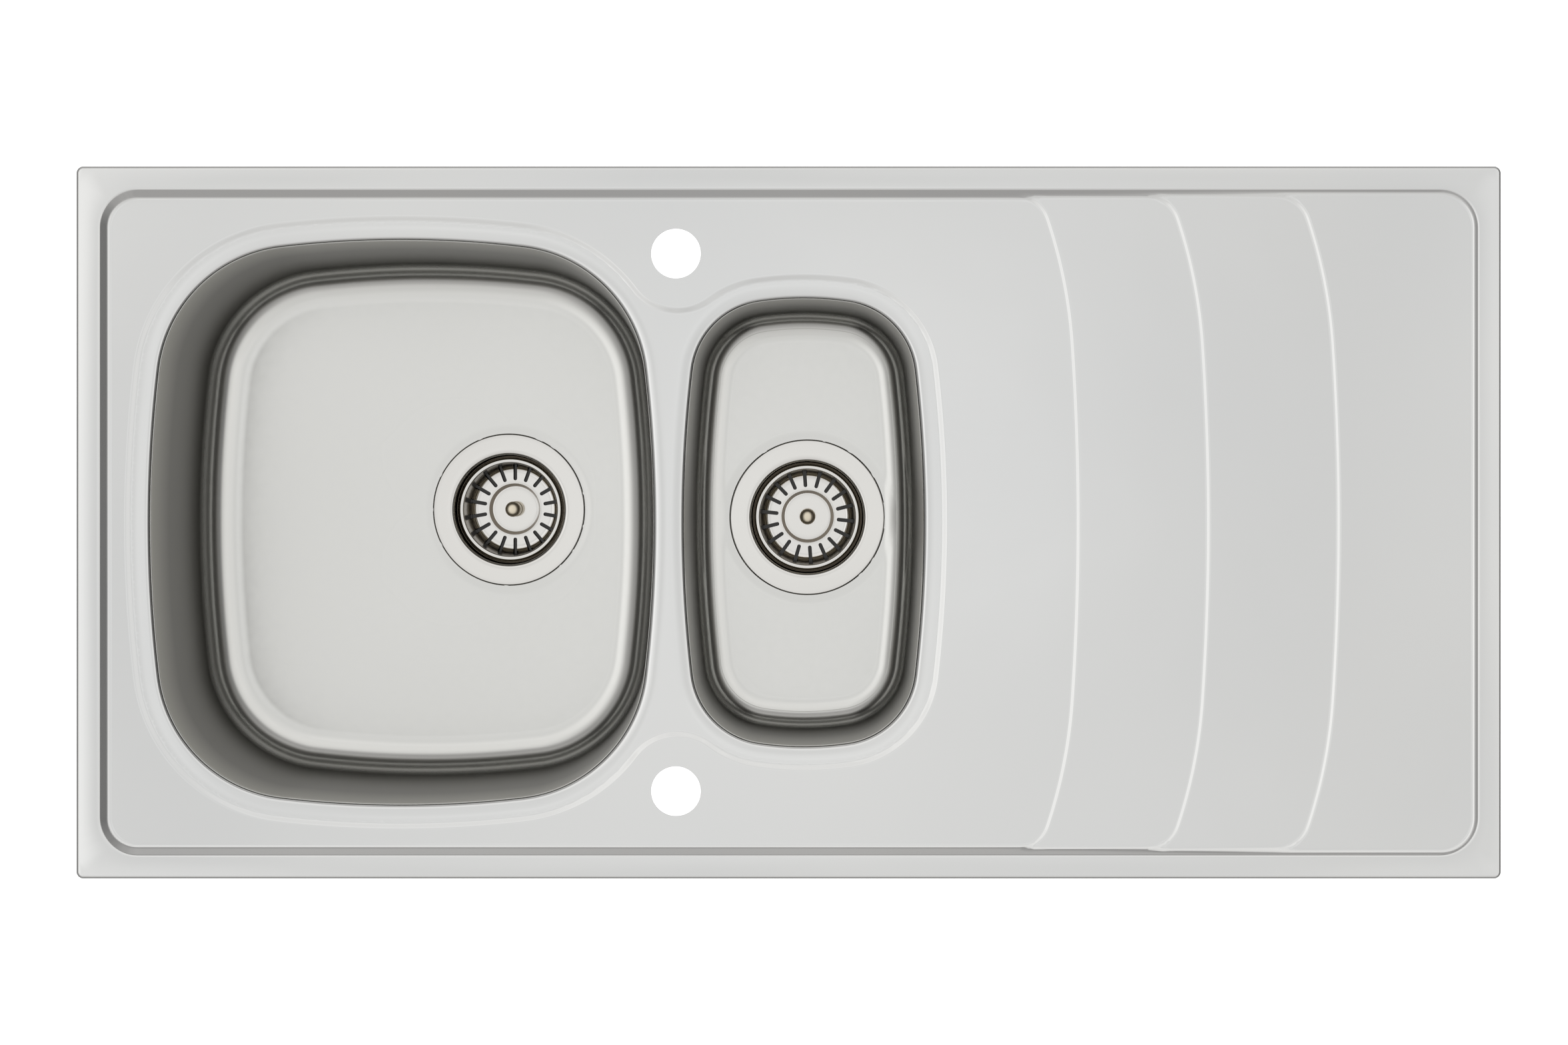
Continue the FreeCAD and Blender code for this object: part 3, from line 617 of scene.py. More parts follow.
def inside_deck(points, gap):
    """True where a point is on the deck and clear of its edge and holes by gap."""
    good = np.ones(len(points), bool)
    for name, outline in FINE_OPENINGS.items():
        good &= outline_distance(points, outline) > OPENING_ROLL + gap
    for hole in TAP_HOLES:
        good &= np.hypot(*(points - hole).T) > TAP_HOLE_R + gap
    q = np.abs(points) - (np.array([LENGTH, WIDTH]) / 2 - CORNER_R)
    outside = np.hypot(*np.maximum(q, 0).T) + np.minimum(q.max(axis=1), 0)
    return good & (outside < CORNER_R - EDGE_ROLL_R - gap)


outer_loop = ring(EDGE, -EDGE_ROLL_R)
opening_loops = [ring(outline, OPENING_ROLL) for outline in OPENINGS.values()]
hole_loops = [circle(hole, TAP_HOLE_R, 72) for hole in TAP_HOLES]

slope_rows = [ring(SLOPE, -d) for d in
              (-2.2, -1.3, -0.7, 0, 0.7, 1.3, 2.4, 3.6, 4.6, 5.4, 6.0, 6.6, 7.2, 7.9, 8.8)]
surround_rows = [ring(SURROUND, SURROUND_WIDTH + d) for d in
                 (-1.3, -0.7, -0.3, 0, 0.3, 0.7, 1.8, 2.9, 3.3, 3.6, 3.9, 4.3, 4.9)]
riser_rows = [ring(outline, d) for outline in RISERS for d in
              (-1.2, -0.7, -0.3, 0, 0.3, 0.7, 1.2, 1.7, 2.1, 2.4, 2.7, 3.1, 3.6)]
dish_rows = [ring(outline, OPENING_ROLL + d) for outline in OPENINGS.values()
             for d in (0.7, 1.6, 2.7, 4.0, 5.5, 7.2, 9.0)]
hole_rows = [circle(hole, TAP_HOLE_R + d, 72) for hole in TAP_HOLES for d in (0.5, 1.5)]


def fitting(rows, gap):
    points = np.vstack(rows)
    return points[inside_deck(points, gap)]


risers = fitting(riser_rows, 0.4)
risers = risers[rim_distance(risers) > 5.8]
deck_points = thinned([
    (fitting(slope_rows, 0.3), 0.0), (fitting(dish_rows, 0.3), 0.3),
    (fitting(surround_rows, 0.4), 0.45), (fitting(hole_rows, 0.3), 0.4), (risers, 0.5),
])
print(len(deck_points), "points on the deck")

# %% The deck's skin
deck_skin = Skin()
flat, triangles = filled(
    [outer_loop, *opening_loops, *hole_loops], deck_points, lambda middle: inside_deck(middle, -0.02)
)
deck_skin.add(np.column_stack([flat, deck_height(flat)]), triangles)
quarter = [math.pi / 2 * k / 6 for k in range(7)]
edge_rings = [
    ring(EDGE, -EDGE_ROLL_R * (1 - math.sin(a)), RIM_TOP - EDGE_ROLL_R * (1 - math.cos(a)))
    for a in quarter
]
edge_rings.append(ring(EDGE, 0.0, SKIRT_BOTTOM))
deck_skin.add_rings(edge_rings[::-1])
lip_slope = math.atan(2 * DISH_DROP / DISH_WIDTH)
for outline in OPENINGS.values():
    top = float(deck_height(ring(outline, OPENING_ROLL))[0])
    roll = OPENING_ROLL / (1 - math.sin(lip_slope))
    rings = [
        ring(outline, roll * (1 - math.sin(a)), top - roll * (math.cos(lip_slope) - math.cos(a)))
        for a in lip_slope + (math.pi / 2 - lip_slope) * np.arange(9) / 8
    ]
    rings.append(ring(outline, 0.0, COLLAR_BOTTOM + 0.35))
    rings.append(ring(outline, 0.2, COLLAR_BOTTOM))
    deck_skin.add_rings(rings)
show(deck_skin.mesh("deck_pressing", thickness=SHEET), "deck_pressing", "sink", ["deck"],
     satin_deck)

# %% [markdown]
# ## The bowls
# A drawn bowl is a sweep too: the opening's outline shrinks a little on the way down the drafted
# wall and then round a large radius onto the floor. The floor dips softly to the waste and is
# filled from a height formula. A fine groove is left at the weld under the deck's collar.

# %% Bowls


def wall_profile(bowl):
    """(grow, height) pairs down the wall and round onto the floor."""
    radius, floor = bowl["floor_r"], bowl["floor"]
    foot_z = floor + radius * (1 - math.sin(DRAFT))
    foot = -(COLLAR_BOTTOM - foot_z) * math.tan(DRAFT)
    centre = foot - radius * math.cos(DRAFT)
    drop = COLLAR_BOTTOM - foot_z
    profile = [(0.2, COLLAR_BOTTOM), (0.0, COLLAR_BOTTOM - 0.35)]
    profile += [(foot * t, COLLAR_BOTTOM - drop * t) for t in np.linspace(0.04, 1, 9)]
    for a in DRAFT + (math.pi / 2 - DRAFT) * np.arange(1, 19) / 18:
        profile.append((centre + radius * math.cos(a), floor + radius - radius * math.sin(a)))
    profile.append((centre - FLAT_START, floor))
    return profile


def floor_height(points, bowl, flat_edge):
    """The floor: flat, with the last of its radius outside and a soft dip to the waste's seat.

    The rise is counted from flat_edge, FLAT_START further in than the wall's radius begins, so
    where the half bowl's floor takes in part of that radius it meets the wall in a small step.
    """
    beyond = np.clip(outline_distance(points, OPENINGS[bowl["name"]]) - flat_edge, 0, None)
    to_seat = np.hypot(*(points - bowl["waste"]).T) - SEAT_R
    dip = SEAT_DIP * (1 - soft_rise(to_seat, SEAT_DIP_RUN, SEAT_DIP_EASE))
    return bowl["floor"] + bowl["floor_r"] - np.sqrt(bowl["floor_r"] ** 2 - beyond ** 2) - dip


def bowl_piece(bowl):
    """The swept wall, the filled floor with its dip, and the seat under the flange."""
    name, outline = bowl["name"], OPENINGS[bowl["name"]]
    skin = Skin()
    profile = wall_profile(bowl)
    flat_edge = profile[-1][0]
    seat_reach = SEAT_R + SEAT_DIP_RUN + SEAT_DIP_EASE
    nearest = np.hypot(*(ring(outline, flat_edge) - bowl["waste"]).T).min()
    clear = flat_edge + max(0.0, seat_reach - nearest)
    down_to = max(i for i, (grow, _) in enumerate(profile) if grow >= clear)
    skin.add_rings([ring(outline, grow, z) for grow, z in profile[:down_to + 1]])
    seat = circle(bowl["waste"], SEAT_R, SEAT_STEPS)
    seat_rows = [circle(bowl["waste"], SEAT_R + d, SEAT_STEPS)
                 for d in (0.6, 1.2, 1.9, 2.7, 3.6, 4.6, 5.6, 6.7, 8.0)]
    floor_rows = [ring(outline, grow) for grow, _ in profile[down_to + 1:]] or [ring(outline, flat_edge - 3)]
    last = ring(outline, profile[down_to][0])
    seat_points = np.vstack(seat_rows)
    floor_points = np.vstack(floor_rows)
    floor_points = floor_points[np.hypot(*(floor_points - bowl["waste"]).T) > SEAT_R + 0.5]
    flat, triangles = filled(
        [last, seat], thinned([(seat_points, 0.0), (floor_points, 1.0)]),
        lambda middle: (outline_distance(middle, outline) < profile[down_to][0])
        & (np.hypot(*(middle - bowl["waste"]).T) > SEAT_R - 0.05),
    )
    skin.add(np.column_stack([flat, floor_height(flat, bowl, flat_edge)]), triangles)
    edge_z = bowl["floor"] - SEAT_DIP * (1 - float(soft_rise(np.zeros(1), SEAT_DIP_RUN, SEAT_DIP_EASE)[0]))
    seat_floor = bowl["floor"] - RECESS_DEPTH
    walls = [(SEAT_R, edge_z), (SEAT_R - 0.05, edge_z - 0.3), (SEAT_R - 0.05, seat_floor + 0.1),
             (SEAT_R - 0.2, seat_floor), (52.0, seat_floor), (45.0, seat_floor)]
    skin.add_rings([
        np.column_stack([circle(bowl["waste"], r, SEAT_STEPS), np.full(SEAT_STEPS, z)]) for r, z in walls
    ])
    show(skin.mesh(f"{name}_bowl_drawn", thickness=SHEET), f"{name}_bowl_drawn", "sink",
         [f"{name}_bowl"], drawn_bowl[name])


for bowl in (MAIN, HALF):
    bowl_piece(bowl)

# %% [markdown]
# ## Turned, threaded and repeated shapes
# The waste and the clips are turned or pressed round an axis. A profile is a list of radii and
# heights, its corners are rounded a little, and it is spun into rings. A thread is the same rings
# with a radius that climbs once per pitch. What repeats round an axis, such as the strainer's
# slots, is made once and copied by a Geometry Nodes tree, then turned into one plain mesh.

# %% Spinning a profile


def rounded(profile, radius, steps=4):
    """The profile with each inner corner replaced by a short curve of about this radius."""
    points = [np.array(p, float) for p in profile]
    smooth = [points[0]]
    for before, corner, after in zip(points, points[1:], points[2:]):
        reach = [min(radius, np.hypot(*(end - corner)) * 0.45) for end in (before, after)]
        start = corner + (before - corner) / np.hypot(*(before - corner)) * reach[0]
        end = corner + (after - corner) / np.hypot(*(after - corner)) * reach[1]
        for t in np.linspace(0, 1, steps + 1):
            smooth.append((1 - t) ** 2 * start + 2 * t * (1 - t) * corner + t * t * end)
    return smooth + [points[-1]]


def spin(profile, count):
    """Rings round the Z axis, one for each (radius, height) of the profile."""
    return [np.column_stack([circle((0, 0), r, count), np.full(count, z)]) for r, z in profile]


def thread(crest, root, pitch, low, high, count, per_turn=6):
    """Rings of a right-handed thread between two heights, fading out at both ends."""
    angles = 2 * math.pi * np.arange(count) / count
    rings = []
    for z in np.arange(low, high + 1e-6, pitch / per_turn):
        phase = (z / pitch - angles / (2 * math.pi)) % 1
        rise = np.clip(2.3 * np.minimum(phase, 1 - phase) - 0.08, 0, 1)
        fade = min(1, (z - low) / pitch, (high - z) / pitch)
        r = crest - (crest - root) * (1 - fade * (1 - rise))
        rings.append(np.column_stack([r * np.cos(angles), r * np.sin(angles), np.full(count, z)]))
    return rings


def moved(mesh, x, y, z, turn=0.0):
    """The mesh turned about Z, in degrees, and moved, in millimetres."""
    mesh.transform(Matrix.Translation((x * MM, y * MM, z * MM)) @ Matrix.Rotation(math.radians(turn), 4, "Z"))
    return mesh


def evaluated(source):
    """The plain mesh that an object's modifiers make. The object is then removed."""
    mesh = bpy.data.meshes.new_from_object(source.evaluated_get(bpy.context.evaluated_depsgraph_get()))
    bpy.data.objects.remove(source)
    return mesh


def carrier(name, mesh):
    """An object in the scene that carries a mesh while modifiers work on it."""
    source = bpy.data.objects.new(name, mesh)
    bpy.context.scene.collection.objects.link(source)
    return source


# %% A ring of copies in Geometry Nodes
ring_tree = bpy.data.node_groups.new("ring of copies", "GeometryNodeTree")
sockets = {}
for label, kind in (("Piece", "Geometry"), ("Copies", "Int"), ("Weld", "Float"), ("Material", "Material")):
    sockets[label] = ring_tree.interface.new_socket(label, in_out="INPUT", socket_type=f"NodeSocket{kind}")
ring_tree.interface.new_socket("Ring", in_out="OUTPUT", socket_type="NodeSocketGeometry")
given = ring_tree.nodes.new("NodeGroupInput").outputs
share = add(ring_tree, "ShaderNodeMath", {0: 2 * math.pi, 1: given["Copies"]}, operation="DIVIDE")
number = ring_tree.nodes.new("GeometryNodeInputIndex").outputs[0]
turned = add(ring_tree, "ShaderNodeMath", {0: number, 1: share.outputs[0]}, operation="MULTIPLY")
spun = add(ring_tree, "ShaderNodeCombineXYZ", {"Z": turned.outputs[0]})
spots = add(ring_tree, "GeometryNodePoints", {"Count": given["Copies"]})
copies = add(ring_tree, "GeometryNodeInstanceOnPoints", {
    "Points": spots.outputs[0], "Instance": given["Piece"], "Rotation": spun.outputs[0],
})
real = add(ring_tree, "GeometryNodeRealizeInstances", {"Geometry": copies.outputs[0]})
welded = add(ring_tree, "GeometryNodeMergeByDistance", {
    "Geometry": real.outputs[0], "Distance": given["Weld"],
})
painted = add(ring_tree, "GeometryNodeSetMaterial", {
    "Geometry": welded.outputs[0], "Material": given["Material"],
})
add(ring_tree, "NodeGroupOutput", {"Ring": painted.outputs[0]})


def ring_of_copies(mesh, copies, material, weld=0.005):
    """Copies of a small mesh round the Z axis, welded where they meet, as one plain mesh."""
    source = carrier("one of a ring", mesh)
    modifier = source.modifiers.new("ring", "NODES")
    modifier.node_group = ring_tree
    for label, value in (("Copies", copies), ("Weld", weld * MM), ("Material", material)):
        modifier[sockets[label].identifier] = value
    return evaluated(source)


print("nodes in the ring of copies:", len(ring_tree.nodes))

# %% [markdown]
# ## The wastes
# Each waste is a polished flange that lies in the floor's pressed seat and narrows to a cup. Four
# ports in the cup's foot let the water out. Heights count from the bowl's floor. The flange's top
# is a hair below the floor, so a thin dark line shows round it, partly real shade in the gap and
# partly painted shade on the steep edges there. Its lip rolls softly into the cup: that roll
# reflects part of the dark ring in the middle of the bright one, and the cup's steep faces, painted
# dark as shade, make the rest.

# %% Sizes of the wastes
STRAINER_TURN = {"main": 10.0, "half": 14.0}
FLANGE_R, FLANGE_TOP, FLANGE_EDGE = 57.0, -0.2, -1.5
CUP_R, CUP_LEDGE_R, CUP_FOOT_R = 41.5, 37.6, 36.0
CUP_LEDGE, CUP_FOOT = -17.0, -50.0
PORT_IN_R, PORT_OUT_R, SPOKE, FOOT_HOLE_R = 9.2, 16.5, 3.0, 4.3
BODY_TOP, BODY_BOTTOM, BODY_R, OUTLET_END = -6.5, -66.0, 58.0, -92.0
OUTLET_CREST_R, OUTLET_ROOT_R, OUTLET_BORE_R, OUTLET_PITCH = 23.9, 22.5, 20.0, 2.309
WEB_FOOT, WEB_TOP, WEB_REACH, WEB_THICK = -62.0, -52.0, 37.0, 2.4


def at_waste(mesh, bowl, turn=0.0):
    return moved(mesh, bowl["waste"][0], bowl["waste"][1], bowl["floor"], turn)


# %% Flange and cup


def port_loop(k):
    """The outline of one port in the cup's foot."""
    points = []
    for radius, back in ((PORT_OUT_R, False), (PORT_IN_R, True)):
        margin = math.asin(SPOKE / 2 / radius)
        angles = k * math.pi / 2 + np.linspace(margin, math.pi / 2 - margin, 15)
        arc = np.column_stack([radius * np.cos(angles), radius * np.sin(angles)])
        points.append(arc[::-1] if back else arc)
    return np.vstack(points)


def on_foot(points):
    """True on the cup's foot, between its ports and round the screw's hole."""
    r = np.hypot(*points.T)
    port = (r > PORT_IN_R) & (r < PORT_OUT_R) & (np.abs(points).min(axis=1) > SPOKE / 2)
    return (r > FOOT_HOLE_R) & ~port


def flange(bowl):
    profile = [(FLANGE_R, FLANGE_EDGE)]
    profile += rounded([(FLANGE_R, -1.2), (FLANGE_R, FLANGE_TOP - 0.35), (FLANGE_R - 0.5, FLANGE_TOP),
                        (FLANGE_R - 3, FLANGE_TOP)], 0.3)
    profile += [(r, FLANGE_TOP) for r in (52.0, 49.0, 46.5)]
    profile += [(45.0, -0.22), (44.0, -0.3), (43.2, -0.48), (42.6, -0.8), (42.1, -1.3), (41.75, -1.9),
                (41.55, -2.7)]
    profile += rounded([(CUP_R, -3.6), (CUP_R, CUP_LEDGE + 3), (CUP_LEDGE_R, CUP_LEDGE),
                        (CUP_FOOT_R, CUP_FOOT), (30.0, CUP_FOOT)], 1.6)
    skin = Skin()
    skin.add_rings(spin(profile, 144))
    foot, triangles = filled(
        [circle((0, 0), 30.0, 144), *(port_loop(k) for k in range(4)), circle((0, 0), FOOT_HOLE_R, 40)],
        [], on_foot,
    )
    skin.add(np.column_stack([foot, np.full(len(foot), CUP_FOOT)]), triangles)
    name = f"{bowl['name']}_flange_and_cup"
    floor = bowl["floor"]
    # Painted shade: the cup's steep faces are painted dark brown, darker deeper down, and the whole cup
    # darkens towards its foot.
    flange_steel = steel(
        f"stainless, polished, {bowl['name']} cup", "#deddda", "#d3d1cc", 0.10, 0.02, (0.6, 0.6, 0.6),
        0.001, 0.0, wall=("#57503f", 0.25, (floor - 30, floor - 4, 0.5, 1.0)),
        painted_depth_shade=(floor - 38, floor - 8, 0.06, 1.0),
    )
    show(at_waste(skin.mesh(name, thickness=1.0), bowl), name, "sink",
         [f"{bowl['name']}_waste_flange"], flange_steel)


# %% Moulded body under the bowl


def joined(name, *meshes):
    """Several meshes as one."""
    bm = bmesh.new()
    for mesh in meshes:
        bm.from_mesh(mesh)
    whole = bpy.data.meshes.new(name)
    bm.to_mesh(whole)
    bm.free()
    return whole


def waste_body(bowl):
    outside = rounded([(OUTLET_BORE_R, OUTLET_END), (OUTLET_CREST_R - 0.8, OUTLET_END),
                       (OUTLET_ROOT_R + 0.6, OUTLET_END + 0.8), (OUTLET_ROOT_R, OUTLET_END + 1.6)], 0.4)
    above = [(OUTLET_ROOT_R, BODY_BOTTOM - 4.2), (OUTLET_CREST_R, BODY_BOTTOM - 3.6),
             (OUTLET_CREST_R, BODY_BOTTOM - 3), (37.0, BODY_BOTTOM), (43.0, BODY_BOTTOM + 9),
             (47.5, BODY_TOP - 6), (BODY_R, BODY_TOP - 4), (BODY_R, BODY_TOP), (43.9, BODY_TOP),
             (39.5, BODY_BOTTOM + 11), (35.0, BODY_BOTTOM + 3), (OUTLET_BORE_R, BODY_BOTTOM - 2),
             (OUTLET_BORE_R, OUTLET_END)]
    rings = spin(outside, 120)
    rings += thread(OUTLET_CREST_R, OUTLET_ROOT_R, OUTLET_PITCH, OUTLET_END + 1.8, BODY_BOTTOM - 4.4, 120)
    rings += spin(rounded(above, 0.9), 120)
    skin = Skin()
    skin.add_rings(rings)
    boss = rounded([(4.0, WEB_FOOT), (7.5, WEB_FOOT), (7.5, WEB_TOP + 1), (4.0, WEB_TOP + 1)], 0.5)
    skin.add_rings(spin(boss + boss[:1], 48))
    web_skin = Skin()
    half = WEB_THICK / 2
    sections = []
    for x in (5.0, WEB_REACH):
        corners = rounded([(0, WEB_FOOT), (half, WEB_FOOT), (half, WEB_TOP), (-half, WEB_TOP),
                           (-half, WEB_FOOT), (0, WEB_FOOT)], 0.4)
        sections.append(np.array([(x, y, z) for y, z in corners]))
    web_skin.add_rings(sections, closed=False)
    webs = ring_of_copies(moved(web_skin.mesh("web"), 0, 0, 0, 30.0), 3, white_plastic)
    name = f"{bowl['name']}_moulded_body"
    whole = joined(name, skin.mesh(name), webs)
    show(at_waste(whole, bowl), name, "sink", [f"{bowl['name']}_waste_body"], white_plastic)


# %% [markdown]
# The strainer is a pressed basket. Its eighteen slots start on the foot and climb the wall a
# little, so one eighteenth of the basket is modelled with half a slot's width on each side of its
# middle, and the ring of copies makes the whole. The knob is a turned, nickel plated post, and
# its head is a little flatter than a ball, so more of it faces the light.

# %% Basket
BASKET_RIM_R, BASKET_WALL_R, BASKET_FOOT_R, BASKET_DISC_R = 39.1, 35.3, 33.9, 18.8
BASKET_RIM, BASKET_FOOT, BASKET_DISC, BASKET_THICK = -10.0, -46.0, -45.0, 0.8
SLOTS, SLOT_HALF, SLOT_START_R, SLOT_TOP = 18, 1.4, 22.1, -38.5


def basket_profile():
    """(radius, height) down the basket's inner face, from the lip of its rim to its middle."""
    rim, wall, foot = BASKET_RIM_R, BASKET_WALL_R, BASKET_FOOT_R
    profile = [(rim - 0.2, BASKET_RIM - 2.6), (rim, BASKET_RIM - 1.9), (rim, BASKET_RIM - 1.2),
               (rim - 0.2, BASKET_RIM - 0.6), (rim - 0.6, BASKET_RIM - 0.2), (rim - 1.2, BASKET_RIM)]
    profile += [(wall + 1.5, BASKET_RIM), (wall + 0.9, BASKET_RIM - 0.12), (wall + 0.45, BASKET_RIM - 0.4),
                (wall + 0.12, BASKET_RIM - 0.9), (wall, BASKET_RIM - 1.6), (wall, BASKET_RIM - 5)]
    for z in (-18, -22, -26, -30, -34, -37.0, -38.2, -38.5, -38.54, -38.65, -38.85, -39.2, -39.6, -40.0):
        profile.append((wall + (foot - wall) * (BASKET_RIM - 5 - z) / 25, z))
    profile += [(foot - 0.12, -41.2), (foot - 0.5, -42.5), (foot - 1.15, -43.7), (foot - 2.1, -44.7),
                (foot - 3.2, -45.4), (foot - 4.4, -45.85), (foot - 5.6, BASKET_FOOT)]
    profile += [(r, BASKET_FOOT) for r in (27.0, 25.5, 24.4, 23.5, 22.95, 22.55, 22.3, 22.15, 22.1, 21.6)]
    disc = BASKET_DISC_R
    profile += [(disc + d, BASKET_FOOT + rise) for d, rise in (
        (2.3, 0.0), (1.6, 0.04), (0.9, 0.16), (0.3, 0.33), (-0.3, 0.5), (-0.9, 0.67), (-1.5, 0.84),
        (-2.2, 0.96), (-2.9, 1.0))]
    return profile + [(r, BASKET_DISC) for r in (14.0, 11.0, 7.5, 5.0, 3.0)]


def slot_half(r, z):
    """Half the slot's width here, narrowing to nothing in a round at both ends."""
    end = min(SLOT_TOP - z, r - SLOT_START_R if z < -44.5 else SLOT_HALF)
    return math.sqrt(max(0.0, SLOT_HALF ** 2 - max(0.0, SLOT_HALF - end) ** 2)) if end > 1e-6 else 0.0


def basket(bowl):
    edge = math.pi / SLOTS
    sides = ([], [])
    for r, z in basket_profile():
        gap = math.asin(slot_half(r, z) / r)
        for rows, angles in zip(sides, (np.linspace(-edge, -gap, 5), np.linspace(gap, edge, 5))):
            rows.append(np.column_stack([r * np.cos(angles), r * np.sin(angles), np.full(5, z)]))
    sector = Skin()
    for rows in sides:
        sector.add_rings(rows, closed=False)
    name = f"{bowl['name']}_slotted_basket"
    whole = ring_of_copies(sector.mesh("basket sector"), SLOTS, pressed_basket)
    bm = bmesh.new()
    bm.from_mesh(whole)
    thicken(bm, BASKET_THICK * MM)
    bm.to_mesh(whole)
    bm.free()
    show(at_waste(whole, bowl, STRAINER_TURN[bowl["name"]]), name, f"{bowl['name']}_strainer",
         [f"{bowl['name']}_basket"], pressed_basket)


# %% Knob
KNOB_R, POST_R, STEM_R, TAIL_R = 5.9, 5.4, 3.0, 2.4
KNOB_TOP, TAIL_END = -24.0, -58.8


def knob(bowl):
    middle = KNOB_TOP - KNOB_R
    under = rounded([(0, TAIL_END), (TAIL_R - 0.7, TAIL_END), (TAIL_R, TAIL_END + 0.9), (TAIL_R, -45.8),
                     (STEM_R, -45.8), (STEM_R, BASKET_DISC), (KNOB_R - 0.1, BASKET_DISC),
                     (KNOB_R, -44.6), (POST_R, -43.6), (POST_R, -40.0)], 0.25)
    neck = [(POST_R, middle - 3.0), (POST_R + 0.12, middle - 2.3), (POST_R + 0.32, middle - 1.5),
            (KNOB_R - 0.04, middle - 0.7)]
    power = 2.6
    dome = [(KNOB_R * math.cos(a) ** (2 / power), middle + KNOB_R * math.sin(a) ** (2 / power))
            for a in np.linspace(0, math.pi / 2, 16)[:-1]] + [(0.0, KNOB_TOP)]
    skin = Skin()
    skin.add_rings(spin(under + neck + dome, 64))
    name = f"{bowl['name']}_turned_knob"
    show(at_waste(skin.mesh(name), bowl, STRAINER_TURN[bowl["name"]]), name, f"{bowl['name']}_strainer",
         [f"{bowl['name']}_basket_knob"], nickel)


for bowl in (MAIN, HALF):
    flange(bowl)
    waste_body(bowl)
    basket(bowl)
    knob(bowl)

# %% [markdown]
# ## Small pressed and moulded parts
# Nuts, washers, claws, brackets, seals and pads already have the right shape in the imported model,
# but their edges are razor sharp. A punched or moulded edge is never sharp, and its thin bright
# line is what makes a small part look solid, so each is copied and its sharp edges are bevelled.

# %% Softened copies
SOFTENED = {"clip_bridges": ("sink", 0.35, "plain_steel", mill_steel),
            "rim_seal": ("sink", 0.6, "black_foam", black_foam)}
for bowl in (MAIN, HALF):
    name = bowl["name"]
    SOFTENED |= {
        f"{name}_flange_seal": ("sink", 0.25, "white_seal", white_seal),
        f"{name}_body_seal": ("sink", 0.5, "black_rubber", black_rubber),
        f"{name}_sound_pad": ("sink", 0.5, "bitumen_pad", bitumen),
        f"{name}_clamp_screw": ("sink", 0.25, "plain_steel", mill_steel),
        f"{name}_basket_nut": (f"{name}_strainer", 0.3, "plain_steel", mill_steel),
        f"{name}_basket_seal": (f"{name}_strainer", 0.2, "black_rubber", black_rubber),
    }
CLIPS = range(1, 9)
for k in CLIPS:
    SOFTENED[f"clip_{k}_washer"] = (f"clip_{k}_carriage", 0.2, "zinc_steel", zinc)
    SOFTENED[f"clip_{k}_claw"] = (f"clip_{k}_claw", 0.35, "zinc_steel", zinc)


def softened(node, body, width, material):
    """A copy of a CAD node's surface with its flat faces merged and its sharp edges bevelled."""
    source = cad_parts[node]
    mesh = source.data.copy()
    mesh.transform(source.matrix_world)
    bm = bmesh.new()
    bm.from_mesh(mesh)
    bmesh.ops.remove_doubles(bm, verts=bm.verts, dist=0.001 * MM)
    bmesh.ops.dissolve_limit(bm, angle_limit=math.radians(1.0), verts=bm.verts, edges=bm.edges)
    bm.to_mesh(mesh)
    bm.free()
    copy = carrier(node, mesh)
    bevel = copy.modifiers.new("bevel", "BEVEL")
    bevel.width, bevel.segments, bevel.angle_limit = width * MM, 2, math.radians(32)
    show(evaluated(copy), f"{node}_softened", body, [node], material, sharp=50)


for node, (body, width, slot_name, material) in SOFTENED.items():
    softened(node, body, width, material)

# %% [markdown]
# The clips' long screws are M6 with a slotted cheese head at the bottom. The thread is cut as
# rings, and the slot is cut from the head by a boolean before the mesh is turned to its place.

# %% Clip screws
SCREW_CREST_R, SCREW_ROOT_R, SCREW_PITCH = 3.0, 2.45, 1.0
HEAD_R, HEAD_THICK, SCREW_SLOT_WIDTH, SCREW_SLOT_DEPTH = 5.2, 3.6, 1.2, 1.6


def screw_mesh(length):
    """A screw along Z with its head's lower face at zero."""
    head = rounded([(0, 0), (HEAD_R - 0.5, 0), (HEAD_R, 0.5), (HEAD_R, HEAD_THICK),
                    (SCREW_CREST_R + 0.3, HEAD_THICK), (SCREW_ROOT_R, HEAD_THICK + 0.5)], 0.3)
    tip = [(SCREW_ROOT_R, length - 0.9), (SCREW_ROOT_R - 0.3, length - 0.3), (SCREW_ROOT_R - 0.8, length),
           (0, length)]
    rings = spin(head, 32) + thread(SCREW_CREST_R, SCREW_ROOT_R, SCREW_PITCH, HEAD_THICK + 0.8,
                                    length - 1.0, 32) + spin(tip, 32)
    skin = Skin()
    skin.add_rings(rings)
    cutter_skin = bmesh.new()
    bmesh.ops.create_cube(cutter_skin, size=1.0)
    bmesh.ops.scale(cutter_skin, verts=cutter_skin.verts,
                    vec=(3 * HEAD_R * MM, SCREW_SLOT_WIDTH * MM, 2 * SCREW_SLOT_DEPTH * MM))
    slot_mesh = bpy.data.meshes.new("slot cutter")
    cutter_skin.to_mesh(slot_mesh)
    cutter_skin.free()
    cutter = carrier("slot cutter", slot_mesh)
    whole = carrier("screw", skin.mesh("screw"))
    cut = whole.modifiers.new("slot", "BOOLEAN")
    cut.operation, cut.object, cut.solver = "DIFFERENCE", cutter, "EXACT"
    mesh = evaluated(whole)
    bpy.data.objects.remove(cutter)
    return mesh


screw_low, screw_high = node_box("clip_1_screw")
one_screw = screw_mesh(screw_high[2] - screw_low[2])
for k in CLIPS:
    low, high = node_box(f"clip_{k}_screw")
    middle = (low + high) / 2
    mesh = moved(one_screw.copy(), middle[0], middle[1], low[2], 0 if k in (7, 8) else 90)
    show(mesh, f"clip_{k}_threaded_screw", f"clip_{k}_screw", [f"clip_{k}_screw"], zinc)

# %% [markdown]
# ## Studio
# The floor is plain and pale, level with the lowest point. The camera looks straight down.

